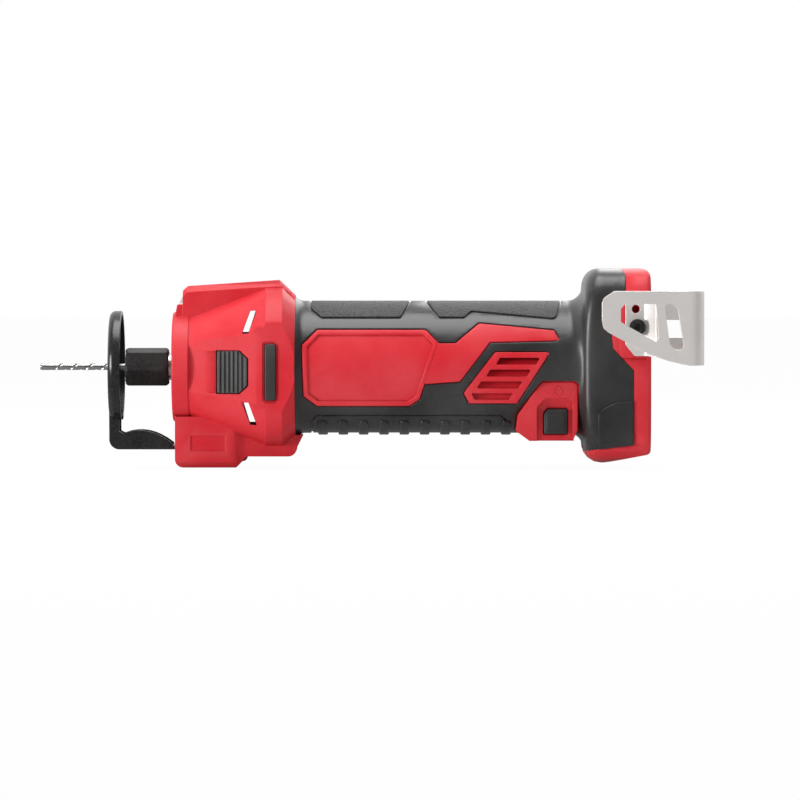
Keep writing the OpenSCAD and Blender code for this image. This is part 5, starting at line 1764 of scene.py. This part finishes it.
@dataclass
class ReturnSprings:
    """Coil springs behind the two buttons.

    Attributes:
        rows: CAD node, joint that presses it, travel and place of the fixed end on Y in millimetres; only the CAD
            node is used.
    """

    rows: tuple[tuple[str, str, float, float], ...] = (
        ("lock_spring", "spindle_lock_press", 3.0, -20.5),
        ("button_spring", "on_off_press", 2.5, -15.3))

    def build(self, finishes: Finishes) -> None:
        """Models and dresses the springs.

        Args:
            finishes: the materials.
        """
        for node, joint, travel, fixed in self.rows:
            piece = settle(cad_copy(node, f"{node}_coil"))
            smooth(piece, 50.0)
            finishes.hand_in(piece, "housing", "bright_steel", node)
            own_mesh(piece)


@dataclass
class Studio:
    """Camera, light and floor.

    Attributes:
        centre: what the camera and the lamps look at, in metres.
        distance: from there to the camera.
        rise: the camera's height over the level, in degrees.
        lens: its focal length, in millimetres.
        sensor: its film's width, in millimetres.
        ambient: light from all round.
        room: how bright the room on the camera's side is in reflections.
        turn: where that side ends and the backdrop begins.
        floor_z: the floor's height.
        floor_grey: its colour.
        floor_glow: its brightness in reflections.
        floor_white: how much of its look is plain brightness.
        lamps: name, place, power and size of each lamp.
    """

    centre: Triple = (0.1421, 0.0, -0.0163)
    distance: float = 2.55
    rise: float = 1.6
    lens: float = 234.0
    sensor: float = 36.0
    ambient: float = 0.52
    room: float = 0.12
    turn: Point = (-0.2, 0.35)
    floor_z: float = -0.0492
    floor_grey: Triple = (0.86, 0.86, 0.86)
    floor_glow: float = 0.3
    floor_white: float = 0.97
    lamps: tuple[tuple[str, Triple, float, float], ...] = (
        ("overhead", (0.08, -0.1, 0.95), 9.9, 0.7),
        ("key", (-0.95, -0.62, 0.1), 11.0, 0.35),
        ("back", (0.5, 0.9, 0.6), 4.0, 0.7))

    def build(self) -> None:
        """Sets up the studio."""
        self._camera()
        self._world()
        self._lamps()
        self._floor()
        bpy.context.scene.view_settings.view_transform = "Standard"

    def _camera(self) -> None:
        """Long lens from the tool's left side."""
        data = bpy.data.cameras.new("camera")
        data.lens = self.lens
        data.sensor_width = self.sensor
        camera = bpy.data.objects.new("camera", data)
        bpy.context.scene.collection.objects.link(camera)
        a = math.radians(self.rise)
        camera.location = Vector(self.centre) + Vector((0, -math.cos(a), math.sin(a)))*self.distance
        camera.rotation_euler = (math.pi/2 - a, 0, 0)
        bpy.context.scene.camera = camera

    def _world(self) -> None:
        """White backdrop to the camera and in reflections, darker on the camera's own side, soft grey light."""
        world = bpy.data.worlds.new("studio")
        bpy.context.scene.world = world
        world.use_nodes = True
        nodes = Nodes(world.node_tree)
        way = nodes.add("ShaderNodeTexCoord", {}, {}, "Generated")
        depth = nodes.add("ShaderNodeSeparateXYZ", {}, {0: way}, "Y")
        behind = depth.between(*self.turn).blend(self.room, 1.0)
        bright = nodes.ray("Camera").most(behind)
        back = nodes.find("BACKGROUND")
        nodes.feed(back.inputs["Color"], (1, 1, 1))
        nodes.feed(back.inputs["Strength"], nodes.seen().blend(self.ambient, bright))

    def _lamps(self) -> None:
        """Broad overhead box, a key light from the bit's side and a rim light behind."""
        for name, spot, power, size in self.lamps:
            data = bpy.data.lights.new(name, "AREA")
            data.energy = power
            data.size = size
            lamp = bpy.data.objects.new(name, data)
            bpy.context.scene.collection.objects.link(lamp)
            lamp.location = spot
            aim = Vector(self.centre) - Vector(spot)
            lamp.rotation_euler = aim.to_track_quat("-Z", "Y").to_euler()

    def _floor(self) -> None:
        """Pale floor, nearly white to the camera, that keeps the tool's shadow."""
        bpy.ops.mesh.primitive_plane_add(size=12.0, location=(0.1, 0.0, self.floor_z))
        floor = bpy.context.object
        floor.name = "floor"
        r = Recipe("floor")
        r.set(Base_Color=self.floor_grey, Roughness=0.7, Specular_IOR_Level=0.1)
        bright = r.ray("Camera").blend(self.floor_glow, 1.0)
        glow = r.add("ShaderNodeEmission", {}, {"Color": (1, 1, 1), "Strength": bright})
        matt = Signal(r, r.shader.outputs[0])
        look = r.add("ShaderNodeMixShader", {}, {0: r.seen()*self.floor_white, 1: matt, 2: glow})
        r.feed(r.find("OUTPUT_MATERIAL").inputs["Surface"], look)
        dress(floor, r.material)


def main() -> None:
    """Builds the studio, the finishes and each sub-assembly in order."""
    logging.basicConfig(level=logging.INFO, format="%(message)s", force=True)
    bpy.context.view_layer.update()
    Studio().build()
    finishes = Finishes()
    finishes.dress_nodes()
    for part in (GripShells(), PushButton(), LockButton(), CuttingBit(), BeltHook(), RoundedParts(),
                 ReturnSprings()):
        part.build(finishes)


if __name__ == "__main__":
    main()
